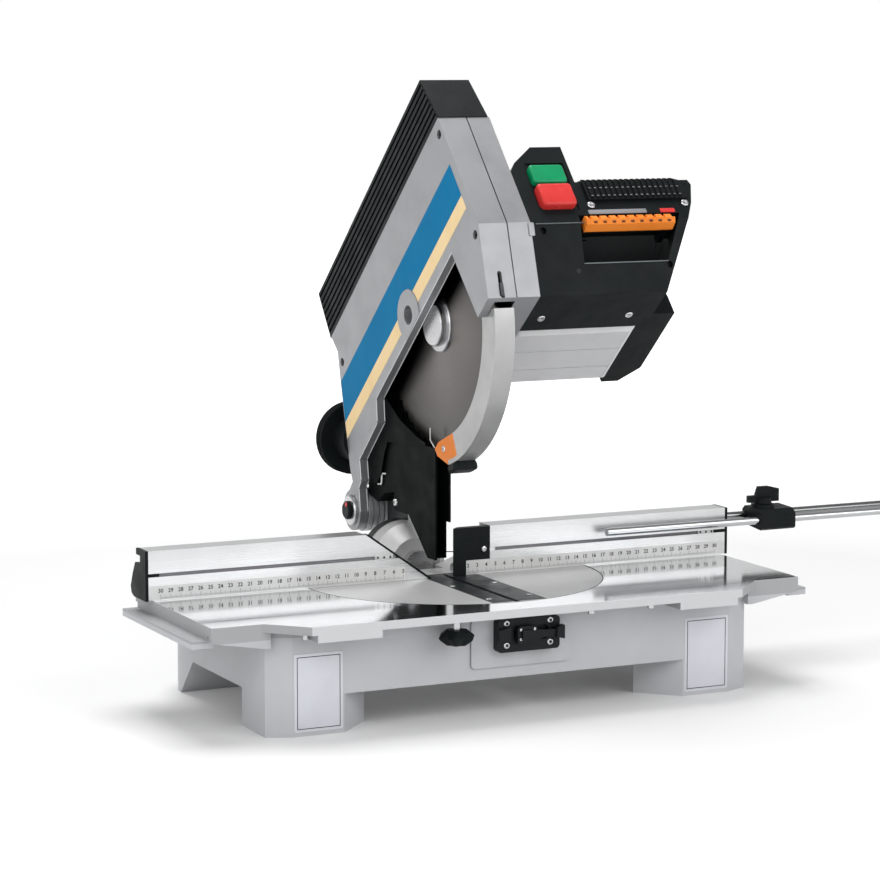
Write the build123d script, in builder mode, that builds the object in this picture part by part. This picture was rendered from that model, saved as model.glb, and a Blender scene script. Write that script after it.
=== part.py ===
from build123d import *
from math import acos, atan2, cos, degrees, pi, radians, sin, tan
import os

# Compound miter saw in millimetres: +X to the right along the fence, +Y to the back, +Z up.
# The origin is the turntable's axis on the plane of the bench.

# Table and base
table_top = 107.0
plate = 8.0
table_half_width = 307.0
table_front = -148.0
table_rear = 50.0
nose_front = -182.0
body_half_width = 252.0
wall = 7.0
arch_height = 36.0
seat_relief = 0.5
seat_pad_radius = 11.0
leg_inner = 178.0
leg_rear = 128.0
leg_corner = 52.0
bench_hole_x = 205.0
bench_hole_y = 110.0
bench_hole_radius = 4.5
cradle_low = 44.0
cradle_high = 56.0
cradle_depth = 44.0
pad_inner = 136.0
pad_outer = 155.0
pad_height = 5.5
pad_angles = (-163.0, -130.0, -50.0, -17.0)
pad_half_angle = 12.0

# Turntable
disc_radius = 149.5
disc_gap = 0.7
disc_top = table_top - 0.3
disc_bottom = table_top - plate + 0.3
slot_half = 2.5
slot_front = -146.0
slot_rear = 20.0
insert_left = -25.0
insert_right = 32.0
insert_front = -144.0
insert_depth = 4.0
insert_ledge = 5.0
pit_floor = 92.0
pivot_bolt_radius = 6.0
trunnion_radius = 40.0
trunnion_wall_front = 96.0
trunnion_wall_rear = 112.0
bevel_pin_radius = 12.0

# Fence
fence_height = 47.5
fence_end = 312.0
fence_foot_depth = 36.0
fence_web = 7.0
groove_low = 22.6
groove_high = 25.9
rule_low = 1.0
rule_high = 14.0
block_step = 14.4
fence_bolt_x = (-290.0, -180.0, 180.0, 290.0)
fence_bolt_y = 31.0

# Head: the arm slopes up to the front, and the blade's hub and the chop pivot are placed from the side
arm_slope = 42.0
hub_y = 19.0
hub_z = 353.0
pivot_y = 190.0
pivot_z = 148.0
cover_left = -20.0
cover_inside = -11.2
seam = 10.5
housing_right = 34.5
arm_top = 126.5
arm_front = 160.0
arm_underside = 12.0
rim = 6.0
lug_radius = 21.0

# Blade, drive and guard
blade_radius = 125.0
blade_half = 1.2
tooth_count = 48
flange_radius = 27.0
arbor_radius = 7.5
gear_module = 2.0
wheel_teeth = 22
pinion_teeth = 8
motor_angle = -26.0
guard_outer = 138.0
guard_inner = 111.0
guard_left = -10.5
guard_right = 10.2
guard_sheet = 3.0
guard_top_end = -31.0
guard_low_end = -116.0
bumper_start = -107.0
bumper_sheet = 1.4
guard_hub = 36.0
port_z = 217.0
port_end = 243.0

# Motor and handle
motor_right = 164.0
motor_low = -62.0
motor_high = 36.0
motor_back = -20.0
motor_front = 74.0
motor_bore = 40.0
cap_right = 200.0
cap_front = 87.0
handle_top = 88.0
grip_end = 222.0
grip_back = 126.0
grip_low = 4.0
grip_high = 44.0
grip_left = 100.0
rib_count = 17
button_left = 51.0
button_right = 89.5
green_span = (40.5, 63.0)
red_span = (12.0, 38.5)
button_corner = 4.5
button_floor = 146.0
finger_back = 92.0
rail_back = 76.0
trigger_along = 133.0
trigger_across = -3.5

# Length stop
rod_radius = 4.0
guide_rod_y = 12.5
guide_rod_z = table_top + 36.5
stop_rod_y = -12.0
stop_rod_z = table_top + 34.0
rod_end = 560.0
clamp_left = 345.0
clamp_width = 40.0

# Lock knob under the nose
lock_x = -74.0
lock_y = -168.0
lock_low = 76.0
lock_high = 90.0

# Index bracket on the front wall
bracket_x = 5.3
bracket_z = 78.8
bracket_screw_span = (45.6, 20.6)

# Running fit of a shaft in its bore, on the radius
running = 0.05

bottom_centre = (Align.CENTER, Align.CENTER, Align.MIN)

up_arm = (0.0, -cos(radians(arm_slope)), sin(radians(arm_slope)))
gear_distance = gear_module * (wheel_teeth + pinion_teeth) / 2
motor_along = gear_distance * cos(radians(motor_angle))
motor_across = gear_distance * sin(radians(motor_angle))


def side_plane(left_face):
    """Plane square to X, drawn in (Y, Z); solids grow to the right."""
    return Plane.YZ.offset(left_face)


def cross_plane(front_face):
    """Plane square to Y, drawn in (X, Z); negative amounts grow to the back."""
    return Plane.XZ.offset(-front_face)


def head_plane(right_face):
    """Plane square to X through the hub, drawn along and across the arm; solids grow to the left."""
    return Plane(origin=(right_face, hub_y, hub_z), x_dir=up_arm, z_dir=(-1, 0, 0))


def front_plane(along):
    """Plane across the arm at a distance from the hub, drawn in (X, across); solids grow to the front."""
    origin = (0, hub_y + along * up_arm[1], hub_z + along * up_arm[2])
    return Plane(origin=origin, x_dir=(1, 0, 0), z_dir=up_arm)


def top_plane(across):
    """Plane along the arm at a distance across it, drawn in (along, X); solids grow away from the bench."""
    slope = radians(arm_slope)
    origin = (0, hub_y + across * sin(slope), hub_z + across * cos(slope))
    return Plane(origin=origin, x_dir=up_arm, z_dir=(0, sin(slope), cos(slope)))


def in_head(y, z):
    """A point of the side view, given along and across the arm from the hub."""
    slope = radians(arm_slope)
    back = y - hub_y
    rise = z - hub_z
    return (-back * cos(slope) + rise * sin(slope), back * sin(slope) + rise * cos(slope))


def ring_point(radius, angle):
    """A point at a radius and an angle in degrees about the sketch's origin."""
    return (radius * cos(radians(angle)), radius * sin(radians(angle)))


def sector(radius, start, end):
    """Corners of a wedge that covers every angle from start to end out to the radius."""
    steps = 4
    reach = radius / cos(radians((end - start) / (2 * steps)))
    return [(0, 0)] + [ring_point(reach, start + (end - start) * i / steps) for i in range(steps + 1)]


def gear_outline(teeth, addendum, dedendum, first_tooth):
    """Outline of a spur gear with 20 degree involute flanks and some backlash."""
    backlash = 0.3
    pitch_radius = gear_module * teeth / 2
    base_radius = pitch_radius * cos(radians(20))
    radii = [pitch_radius + addendum - f * (pitch_radius + addendum - base_radius) for f in (0, 0.5, 1)]
    radii = [r for r in radii if r > pitch_radius - dedendum] + [pitch_radius - dedendum]
    flat = tan(radians(20)) - radians(20)
    half_pitch = pi / (2 * teeth) - backlash / (2 * pitch_radius)
    halves = []
    for r in radii:
        pressure = acos(min(1.0, base_radius / max(r, base_radius)))
        halves.append(degrees(half_pitch + flat - (tan(pressure) - pressure)))
    points = []
    for tooth in range(teeth):
        middle = first_tooth + 360 * tooth / teeth
        points += [ring_point(r, middle - h) for r, h in zip(reversed(radii), reversed(halves))]
        points += [ring_point(r, middle + h) for r, h in zip(radii, halves)]
    return points


pivot_along, pivot_across = in_head(pivot_y, pivot_z)

# Sloping front face below the crease, where the guard catch slides
crease_across = -3.0
nose_along = 130.0
nose_across = -68.0


def slope_plane(x, across):
    """Plane on the sloping front face at a place across the arm, drawn in (X, up the slope)."""
    fall = (arm_front - nose_along) / (crease_across - nose_across)
    along = arm_front - fall * (crease_across - across)
    tilt = radians(arm_slope) - atan2(arm_front - nose_along, crease_across - nose_across)
    y = hub_y - along * cos(radians(arm_slope)) + across * sin(radians(arm_slope))
    z = hub_z + along * sin(radians(arm_slope)) + across * cos(radians(arm_slope))
    return Plane(origin=(x, y, z), x_dir=(1, 0, 0), z_dir=(0, -cos(tilt), sin(tilt)))


catch_plane = slope_plane(-5, -56)

# Side outline of the arm, from the top front corner round by the underside to the neck and back up the rear
arm_front_edge = [(arm_front, arm_top), (arm_front, crease_across), (nose_along, nose_across)]
arm_rear_edge = [(-234, 7), (-197, 80), (-183, 105), (-186, arm_top)]
arm_mouth = [(101, -68), (97, arm_underside), (-137, arm_underside)]
neck_front = [(-137, arm_underside), (-152, -8), (-213, -10), (-225, -29), (-234, -30.5), (-248.6, -52)]
neck_back = [(-256, -18.5), (-243, -17), (-240, -5)]
cover_outline = arm_front_edge + arm_mouth[:2] + neck_front + neck_back + arm_rear_edge
arm_cavity = [
    (arm_front - rim, arm_top - rim),
    (arm_front - rim, -3),
    (124, -68),
    (120, -80),
    (-240, -80),
    (-226.5, 7),
    (-190, 80),
    (-176, 105),
    (-178, arm_top - rim),
]

# Base casting: table plate, skirts, hollow body, front feet and rear legs
with BuildPart() as base_casting:
    with BuildSketch(Plane.XY.offset(table_top - plate)):
        Polygon(
            (0, nose_front),
            (223, nose_front),
            (257, table_front),
            (table_half_width, table_front),
            (table_half_width, table_rear),
            (0, table_rear),
            align=None,
        )
    extrude(amount=plate)
    # Side skirt with its outward lip
    with BuildSketch(cross_plane(-138)):
        Polygon((301, 99), (301, 87), (322, 87), (322, 94), (307, 94), (307, 99), align=None)
    extrude(amount=-183)
    # Front skirt of the wing, deeper towards the body
    with BuildSketch(cross_plane(table_front)):
        Polygon((250, 99), (250, 84), (256, 84), (307, 93), (307, 99), align=None)
    extrude(amount=-wall)
    # Pad under the nose
    with Locations((186.5, nose_front, 99)):
        Box(63, 34, 7, align=(Align.CENTER, Align.MIN, Align.MAX))
    # Body walls
    with BuildSketch(Plane.XY.offset(arch_height)):
        Polygon((0, -148), (229, -148), (252, -138), (252, 50), (0, 50), align=None)
    extrude(amount=table_top - plate - arch_height)
    # Front foot
    with BuildSketch():
        Polygon((178, -148), (229, -148), (252, -138), (252, -82), (176, -82), (143, -113), align=None)
    extrude(amount=arch_height + 8)
    # Rear leg, sloping back and down
    with BuildSketch(side_plane(leg_inner)):
        Polygon((44, 36), (78, 0), (leg_rear, 0), (leg_rear, 45), (50, 85), (44, 85), align=None)
    extrude(amount=body_half_width - leg_inner)
    # Large round on the leg's outer corner
    with BuildSketch():
        with Locations((body_half_width - leg_corner, leg_rear - leg_corner)):
            Rectangle(leg_corner + 2, leg_corner + 2, align=Align.MIN)
            Circle(leg_corner, mode=Mode.SUBTRACT)
    extrude(amount=90, mode=Mode.SUBTRACT)
    # Inside of the body, foot and leg
    with BuildSketch(Plane.XY.offset(arch_height)):
        Polygon((0, -141), (226.5, -141), (245, -133), (245, 43), (0, 43), align=None)
    extrude(amount=table_top - plate - arch_height, mode=Mode.SUBTRACT)
    with BuildSketch(Plane.XY.offset(9)):
        Polygon((181, -141), (226.5, -141), (245, -133), (245, -89), (180, -89), (154, -113), align=None)
    extrude(amount=50, mode=Mode.SUBTRACT)
    with BuildSketch(side_plane(leg_inner + wall)):
        Polygon((40, 43), (47, 43), (79, 9), (118, 9), (118, 41), (49, 77), (40, 77), align=None)
    extrude(amount=28, mode=Mode.SUBTRACT)
    with BuildSketch(side_plane(leg_inner + wall)):
        Polygon((40, 43), (47, 43), (79, 9), (82, 9), (82, 60), (49, 77), (40, 77), align=None)
    extrude(amount=60, mode=Mode.SUBTRACT)
    # Way out at the back for the turntable's arm
    with Locations((0, 30, 58)):
        Box(115, 30, 60, align=(Align.MIN, Align.MIN, Align.MIN), mode=Mode.SUBTRACT)
    # Round opening of the turntable
    with Locations((0, 0, table_top - plate)):
        Cylinder(disc_radius + disc_gap, 20, align=bottom_centre, mode=Mode.SUBTRACT)
    # Bench bolt holes in the floors of the foot and the leg
    with Locations((bench_hole_x, bench_hole_y, 4), (bench_hole_x, -bench_hole_y, 4)):
        Cylinder(bench_hole_radius, 20, mode=Mode.SUBTRACT)
    mirror(about=Plane.YZ)
    # Hole for the lock knob's stud in the nose
    with Locations((lock_x, lock_y, 99)):
        Cylinder(4, 12, mode=Mode.SUBTRACT)
    # The strip behind the fence's face is relieved, and leaves machined pads round the fence's bolts
    with BuildSketch(Plane.XY.offset(table_top - seat_relief)):
        with Locations((0, -seat_relief)):
            Rectangle(2 * table_half_width, 60, align=(Align.CENTER, Align.MIN))
        with Locations(*[(x, fence_bolt_y - 8) for x in fence_bolt_x]):
            Circle(seat_pad_radius, mode=Mode.SUBTRACT)
    extrude(amount=1, mode=Mode.SUBTRACT)
base_casting.part.label = "base_casting"

# Cradle of the turntable: a bar from wall to wall that carries the pivot, and pads under the rim
with BuildPart() as turntable_cradle:
    with Locations((0, 0, cradle_low)):
        Box(2 * (body_half_width - wall), cradle_depth, cradle_high - cradle_low, align=bottom_centre)
        Cylinder(pivot_bolt_radius + running, 20, align=bottom_centre, mode=Mode.SUBTRACT)
    with BuildSketch(Plane.XY.offset(table_top - plate - pad_height)):
        for angle in pad_angles:
            Polygon(*sector(pad_outer + 5, angle - pad_half_angle, angle + pad_half_angle), align=None)
        Circle(pad_outer, mode=Mode.INTERSECT)
        Circle(pad_inner, mode=Mode.SUBTRACT)
    extrude(amount=pad_height)
turntable_cradle.part.label = "turntable_cradle"

# Plate on the front wall behind the index bracket
with BuildPart() as front_panel:
    with BuildSketch(cross_plane(table_front)):
        with Locations((2, 70)):
            RectangleRounded(104, 46, 4)
    extrude(amount=2)
front_panel.part.label = "front_panel"

# Fence extrusion: foot, web and hooked top flange, with a slot along the front
fence_profile = [
    (0, 0),
    (fence_foot_depth, 0),
    (fence_foot_depth, 5),
    (26, 10),
    (fence_web, 10),
    (fence_web, 41),
    (18, 41),
    (18, 32),
    (24, 32),
    (24, fence_height),
    (0, fence_height),
]
fence_bolt_places = [(x, fence_bolt_y, table_top + 5) for x in fence_bolt_x]
fence_slot = [(-1, groove_low), (3.5, groove_low), (3.5, groove_high), (-1, groove_high)]
rule_recess = [(-1, rule_low), (0.4, rule_low), (0.4, rule_high), (-1, rule_high)]


def fence_plane(left_face):
    """Plane square to the fence at table level, drawn in (Y, height above the table)."""
    return Plane(origin=(left_face, 0, table_top), x_dir=(0, 1, 0), z_dir=(1, 0, 0))


with BuildPart() as left_fence:
    with BuildSketch(fence_plane(-fence_end)):
        Polygon(*fence_profile, align=None)
        Polygon(*fence_slot, align=None, mode=Mode.SUBTRACT)
        Polygon(*rule_recess, align=None, mode=Mode.SUBTRACT)
    extrude(amount=fence_end - 23)
    # Slanted inner end, clear of the blade when it leans over
    with BuildSketch(cross_plane(-2)):
        Polygon((-23, 107), (-90, 154.5), (-90, 160), (0, 160), (0, 107), align=None)
    extrude(amount=-50, mode=Mode.SUBTRACT)
    with Locations(*fence_bolt_places):
        Cylinder(4.5, 5, align=bottom_centre, mode=Mode.SUBTRACT)
left_fence.part.label = "left_fence"

with BuildPart() as right_fence:
    with BuildSketch(fence_plane(18)):
        Polygon(*fence_profile, align=None)
        Polygon(*fence_slot, align=None, mode=Mode.SUBTRACT)
        Polygon(*rule_recess, align=None, mode=Mode.SUBTRACT)
    extrude(amount=fence_end - 18)
    # The upper part starts further out, where the end block takes over
    with Locations((10, -2, table_top + block_step)):
        Box(34, 50, 40, align=Align.MIN, mode=Mode.SUBTRACT)
    with Locations(*fence_bolt_places):
        Cylinder(4.5, 5, align=bottom_centre, mode=Mode.SUBTRACT)
right_fence.part.label = "right_fence"

# Black caps on the fence's outer ends, hooked at the top and bellied over the foot;
# the right one has a sleeve for the guide rod
cap_profile = [
    (0, 0),
    (32, 0),
    (39, 3),
    (41, 9),
    (34, 24),
    (28, 33.5),
    (14, 35),
    (14, 41.5),
    (25, 41.5),
    (25, fence_height),
    (0, fence_height),
]
with BuildPart() as fence_end_caps:
    with BuildSketch(fence_plane(-fence_end - 3)):
        Polygon(*cap_profile, align=None)
    extrude(amount=3)
    with BuildSketch(fence_plane(fence_end)):
        Polygon(*cap_profile, align=None)
        Polygon((7, 30), (18, 30), (18, 42), (7, 42), align=None)
    extrude(amount=3)
    with BuildSketch(fence_plane(fence_end - 42)):
        with Locations((guide_rod_y, guide_rod_z - table_top)):
            Rectangle(10.4, 8.8)
    extrude(amount=42)
    with BuildSketch(fence_plane(fence_end - 50)):
        with Locations((guide_rod_y, guide_rod_z - table_top)):
            Circle(rod_radius)
    extrude(amount=60, mode=Mode.SUBTRACT)
fence_end_caps.part.label = "fence_end_caps"

# Black strip on the slanted end of the left fence
with BuildPart() as fence_end_liner:
    with BuildSketch(cross_plane(0)):
        Polygon((-23, 107), (-90, 154.5), (-86.6, 154.5), (-19.6, 107), align=None)
    extrude(amount=-7)
fence_end_liner.part.label = "fence_end_liner"

# Black block beside the blade on the right, bevelled at the back for mitred cuts
with BuildPart() as fence_end_block:
    with BuildSketch(Plane.XY.offset(table_top)):
        Polygon((3.6, 0), (43.8, 0), (43.8, 8), (11.6, 8), align=None)
    extrude(amount=47)
    with Locations((17.8, -1, table_top - 1)):
        Box(40, 20, block_step + 1.2, align=Align.MIN, mode=Mode.SUBTRACT)
    with Locations((37, 0, table_top + 25)):
        Cylinder(3, 4, rotation=(90, 0, 0), mode=Mode.SUBTRACT)
fence_end_block.part.label = "fence_end_block"

# Centimetre rules let into the fence
with BuildPart() as rule_tapes:
    with BuildSketch(fence_plane(-fence_end)):
        Polygon((0, rule_low), (0.4, rule_low), (0.4, rule_high), (0, rule_high), align=None)
    extrude(amount=fence_end - 48)
    with BuildSketch(fence_plane(18)):
        Polygon((0, rule_low), (0.4, rule_low), (0.4, rule_high), (0, rule_high), align=None)
    extrude(amount=fence_end - 18)
rule_tapes.part.label = "rule_tapes"

# Bolts through the fence's foot
with BuildPart() as fence_bolts:
    with Locations(*fence_bolt_places):
        Cylinder(4.5, 5, align=bottom_centre)
fence_bolts.part.label = "fence_bolts"

# Index bracket on the front panel, with a raised block on the left
with BuildPart() as index_bracket:
    with BuildSketch(cross_plane(-150)):
        with Locations((bracket_x, bracket_z - 1.2)):
            RectangleRounded(65, 31.4, 4)
    extrude(amount=9)
    with BuildSketch(cross_plane(-159)):
        Polygon((-27, 74), (-15, 72), (-15, 86), (-27, 84), align=None)
    extrude(amount=3.5)
    with BuildSketch(cross_plane(-155)):
        with Locations((bracket_x + 3, bracket_z)):
            SlotOverall(38, 14)
    extrude(amount=5, mode=Mode.SUBTRACT)
    with BuildSketch(cross_plane(-152)):
        with Locations((0, bracket_z)):
            Circle(4)
    extrude(amount=20, both=True, mode=Mode.SUBTRACT)
    with BuildSketch(cross_plane(-154)):
        with Locations((bracket_x, bracket_z)):
            with GridLocations(*bracket_screw_span, 2, 2):
                Circle(3.4)
    extrude(amount=6, mode=Mode.SUBTRACT)
index_bracket.part.label = "index_bracket"

with BuildPart() as bracket_screws:
    with BuildSketch(cross_plane(-154)):
        with Locations((bracket_x, bracket_z)):
            with GridLocations(*bracket_screw_span, 2, 2):
                Circle(3.2)
    extrude(amount=4.8)
bracket_screws.part.label = "bracket_screws"

# Index lever: a block on a stub shaft, and a bar to the right with an upturned end
with BuildPart() as index_lever:
    with BuildSketch(cross_plane(-152)):
        with Locations((0, bracket_z)):
            Circle(4 - running)
    extrude(amount=10)
    with BuildSketch(cross_plane(-159.5)):
        with Locations((1, bracket_z - 0.8)):
            RectangleRounded(20, 17, 3)
        Polygon((8, 83), (20, 81.5), (34, 81.5), (34, 75), (20, 75), (8, 72), align=None)
    extrude(amount=5.5)
    with BuildSketch(cross_plane(-165)):
        with Locations((1, bracket_z - 0.8)):
            RectangleRounded(12, 10, 2)
    extrude(amount=2.5)
    with BuildSketch(cross_plane(-160.5)):
        Polygon((31, 83), (39, 85), (39, 72), (31, 74), align=None)
    extrude(amount=7)
index_lever.part.label = "index_lever"

# Lobed lock knob on its stud under the nose
with BuildPart() as lock_knob:
    with BuildSketch(Plane.XY.offset(lock_low)):
        with Locations((lock_x, lock_y)):
            Circle(14)
            with PolarLocations(13, 6):
                Circle(5.2)
    extrude(amount=lock_high - lock_low)
    # Both edges fall away to a narrow rim
    with BuildSketch(Plane.XZ.offset(-lock_y)):
        with Locations((lock_x, 0)):
            Polygon((9, lock_low), (17, 81), (19, 81), (19, lock_low), align=None)
            Polygon((9, lock_high), (17, 85), (19, 85), (19, lock_high), align=None)
    revolve(axis=Axis((lock_x, lock_y, 0), (0, 0, 1)), mode=Mode.SUBTRACT)
    with Locations((lock_x, lock_y, lock_high)):
        Cylinder(6, 3, align=bottom_centre)
        Cylinder(4 - running, 14, align=bottom_centre)
lock_knob.part.label = "lock_knob"

# Length stop: guide rod in the fence, clamp block, stop rod and wing knob
with BuildPart() as stop_guide_rod:
    with BuildSketch(side_plane(240)):
        with Locations((guide_rod_y, guide_rod_z)):
            Circle(rod_radius)
    extrude(amount=rod_end - 240)
stop_guide_rod.part.label = "stop_guide_rod"

with BuildPart() as stop_clamp_block:
    with BuildSketch(side_plane(clamp_left)):
        Polygon(
            (-19, 133),
            (-16, 131),
            (15, 134),
            (20, 137),
            (20, 149),
            (15, 153),
            (-13, 152),
            (-19, 147),
            align=None,
        )
    extrude(amount=clamp_width)
    with Locations((clamp_left + 12, 0, 152)):
        Cylinder(12, 4, align=bottom_centre)
    with BuildSketch(side_plane(clamp_left - 1)):
        with Locations((guide_rod_y, guide_rod_z), (stop_rod_y, stop_rod_z)):
            Circle(rod_radius + running)
    extrude(amount=clamp_width + 2, mode=Mode.SUBTRACT)
    with Locations((clamp_left + 12, 0, 146)):
        Cylinder(3 + running, 20, align=bottom_centre, mode=Mode.SUBTRACT)
stop_clamp_block.part.label = "stop_clamp_block"

with BuildPart() as stop_wing_knob:
    with Locations((clamp_left + 12, 0, 146.5)):
        Cylinder(3, 16, align=bottom_centre)
    with Locations((clamp_left + 12, 0, 156.5)):
        Cylinder(9, 6, align=bottom_centre)
    with BuildSketch(cross_plane(-2.5)):
        Polygon(
            (clamp_left - 6, 158),
            (clamp_left + 30, 158),
            (clamp_left + 30, 171),
            (clamp_left + 18, 174),
            (clamp_left + 6, 174),
            (clamp_left + 3, 165),
            (clamp_left - 6, 165),
            align=None,
        )
    extrude(amount=-5)
stop_wing_knob.part.label = "stop_wing_knob"

with BuildPart() as stop_rod:
    with BuildSketch(side_plane(168)):
        with Locations((stop_rod_y, stop_rod_z)):
            Circle(rod_radius)
    extrude(amount=rod_end - 168)
stop_rod.part.label = "stop_rod"


def undercut_slot(floor):
    """Section of the blade slot down to a floor, opened at 45 degrees to the right for the leaning blade."""
    reach = slot_half + disc_top - floor
    return [
        (-slot_half, table_top + 3),
        (slot_half, table_top + 3),
        (slot_half, disc_top),
        (reach, floor),
        (-slot_half, floor),
    ]


# Turntable: disc with the blade slot, hub, rear arm and the bevel trunnion
with BuildPart() as turntable:
    with BuildSketch(Plane.XY.offset(disc_bottom)):
        Circle(disc_radius)
        Polygon((0, 52), (110, 162), (-110, 162), align=None, mode=Mode.SUBTRACT)
    extrude(amount=disc_top - disc_bottom)
    # Hub and stiffening ring below the disc
    with Locations((0, 0, 56.4)):
        Cylinder(20, disc_bottom - 56.4, align=bottom_centre)
    with BuildSketch(Plane.XY.offset(84)):
        Circle(118)
        Circle(112, mode=Mode.SUBTRACT)
        with Locations((0, 40)):
            Rectangle(300, 200, align=(Align.CENTER, Align.MIN), mode=Mode.SUBTRACT)
    extrude(amount=disc_bottom - 84)
    # Rear arm
    with BuildSketch(cross_plane(10)):
        Polygon((-40, 66), (-36, 62), (36, 62), (40, 66), (40, disc_bottom), (-40, disc_bottom), align=None)
    extrude(amount=-(trunnion_wall_rear - 10))
    # Trunnion wall with a bell-shaped boss in front
    with BuildSketch(cross_plane(trunnion_wall_front)):
        with Locations((0, table_top)):
            Circle(trunnion_radius)
    extrude(amount=-(trunnion_wall_rear - trunnion_wall_front))
    with BuildSketch(cross_plane(trunnion_wall_front)):
        with Locations((0, table_top)):
            Circle(trunnion_radius)
    extrude(amount=18, taper=36)
    with BuildSketch(cross_plane(60)):
        with Locations((0, table_top)):
            Circle(bevel_pin_radius + running)
    extrude(amount=-60, mode=Mode.SUBTRACT)
    # Seat of the bevel pin's head and a flat under it
    with BuildSketch(cross_plane(50)):
        with Locations((0, table_top)):
            Circle(17)
    extrude(amount=-28, mode=Mode.SUBTRACT)
    # Recess for the insert
    with BuildSketch(Plane.XY.offset(disc_top - insert_depth)):
        Polygon(
            (insert_left, insert_front),
            (insert_right, insert_front),
            (insert_right, slot_rear),
            (insert_left, slot_rear),
            align=None,
        )
    extrude(amount=10, mode=Mode.SUBTRACT)
    # Pit below the insert, which lies on ledges along both sides
    with BuildSketch(Plane.XY.offset(pit_floor)):
        Polygon(
            (insert_left + insert_ledge, insert_front + insert_ledge),
            (insert_right - insert_ledge, insert_front + insert_ledge),
            (insert_right - insert_ledge, slot_rear),
            (insert_left + insert_ledge, slot_rear),
            align=None,
        )
    extrude(amount=20, mode=Mode.SUBTRACT)
    # Blade slot, undercut to the right for the leaning blade
    with BuildSketch(cross_plane(slot_front)):
        Polygon(*undercut_slot(78), align=None)
    extrude(amount=-(-25 - slot_front), mode=Mode.SUBTRACT)
    # Bore of the pivot bolt
    with Locations((0, 0, 50)):
        Cylinder(pivot_bolt_radius, 30, align=bottom_centre, mode=Mode.SUBTRACT)
turntable.part.label = "turntable"

# Black insert either side of the blade
with BuildPart() as table_insert:
    with BuildSketch(Plane.XY.offset(disc_top - insert_depth)):
        Polygon(
            (insert_left, insert_front),
            (insert_right, insert_front),
            (insert_right, slot_rear),
            (insert_left, slot_rear),
            align=None,
        )
    extrude(amount=insert_depth)
    with BuildSketch(cross_plane(slot_front)):
        Polygon(*undercut_slot(102), align=None)
    extrude(amount=-(slot_rear - slot_front + 1), mode=Mode.SUBTRACT)
table_insert.part.label = "table_insert"

with BuildPart() as turntable_bolt:
    with Locations((0, 0, 36)):
        Cylinder(pivot_bolt_radius, 40, align=bottom_centre)
    with BuildSketch(Plane.XY.offset(36)):
        RegularPolygon(11, 6)
    extrude(amount=7.6)
turntable_bolt.part.label = "turntable_bolt"

# Bevel pin, its clamp lever at the back
with BuildPart() as bevel_pin:
    with BuildSketch(cross_plane(70)):
        with Locations((0, table_top)):
            Circle(15)
    extrude(amount=-7.7)
    with BuildSketch(cross_plane(77)):
        with Locations((0, table_top)):
            Circle(bevel_pin_radius)
    extrude(amount=-(150 - 77))
    with BuildSketch(cross_plane(150)):
        with Locations((0, table_top)):
            Circle(7)
    extrude(amount=-20)
bevel_pin.part.label = "bevel_pin"

with BuildPart() as bevel_lock_lever:
    with BuildSketch(cross_plane(150.4)):
        with Locations((0, table_top)):
            Circle(13)
    extrude(amount=-17)
    with BuildSketch(cross_plane(156)):
        Polygon((-4, 97), (44, 70), (49, 78), (4, 117), align=None)
    extrude(amount=-8)
    with BuildSketch(cross_plane(150)):
        with Locations((0, table_top)):
            Circle(7 + running)
    extrude(amount=-30, mode=Mode.SUBTRACT)
bevel_lock_lever.part.label = "bevel_lock_lever"

# Tilt bracket: flange on the trunnion, post and the barrel of the chop pivot
with BuildPart() as tilt_bracket:
    with BuildSketch(cross_plane(trunnion_wall_rear + 0.5)):
        with Locations((0, table_top)):
            Circle(trunnion_radius)
    extrude(amount=-13.5)
    with BuildSketch(side_plane(-10.5)):
        Polygon(
            (112.5, 74),
            (150, 74),
            (150, 124),
            (196, 130),
            (190, 168),
            (152, 160),
            (136, 171),
            (112.5, 176),
            align=None,
        )
        with Locations((pivot_y, pivot_z)):
            Circle(lug_radius)
    extrude(amount=28)
    with BuildSketch(cross_plane(100)):
        with Locations((0, table_top)):
            Circle(bevel_pin_radius)
    extrude(amount=-60, mode=Mode.SUBTRACT)
    with BuildSketch(side_plane(-20)):
        with Locations((pivot_y, pivot_z)):
            Circle(7)
    extrude(amount=60, mode=Mode.SUBTRACT)
    # Room for the return spring round the pivot
    with BuildSketch(side_plane(5)):
        with Locations((pivot_y, pivot_z)):
            Circle(18)
    extrude(amount=20, mode=Mode.SUBTRACT)
    # Grooves that part the barrel into discs
    with BuildSketch(*[side_plane(-6.5 + 5.5 * i) for i in range(4)]):
        with Locations((pivot_y, pivot_z)):
            Circle(26)
            Circle(19.4, mode=Mode.SUBTRACT)
    extrude(amount=1.4, mode=Mode.SUBTRACT)
tilt_bracket.part.label = "tilt_bracket"

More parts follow.
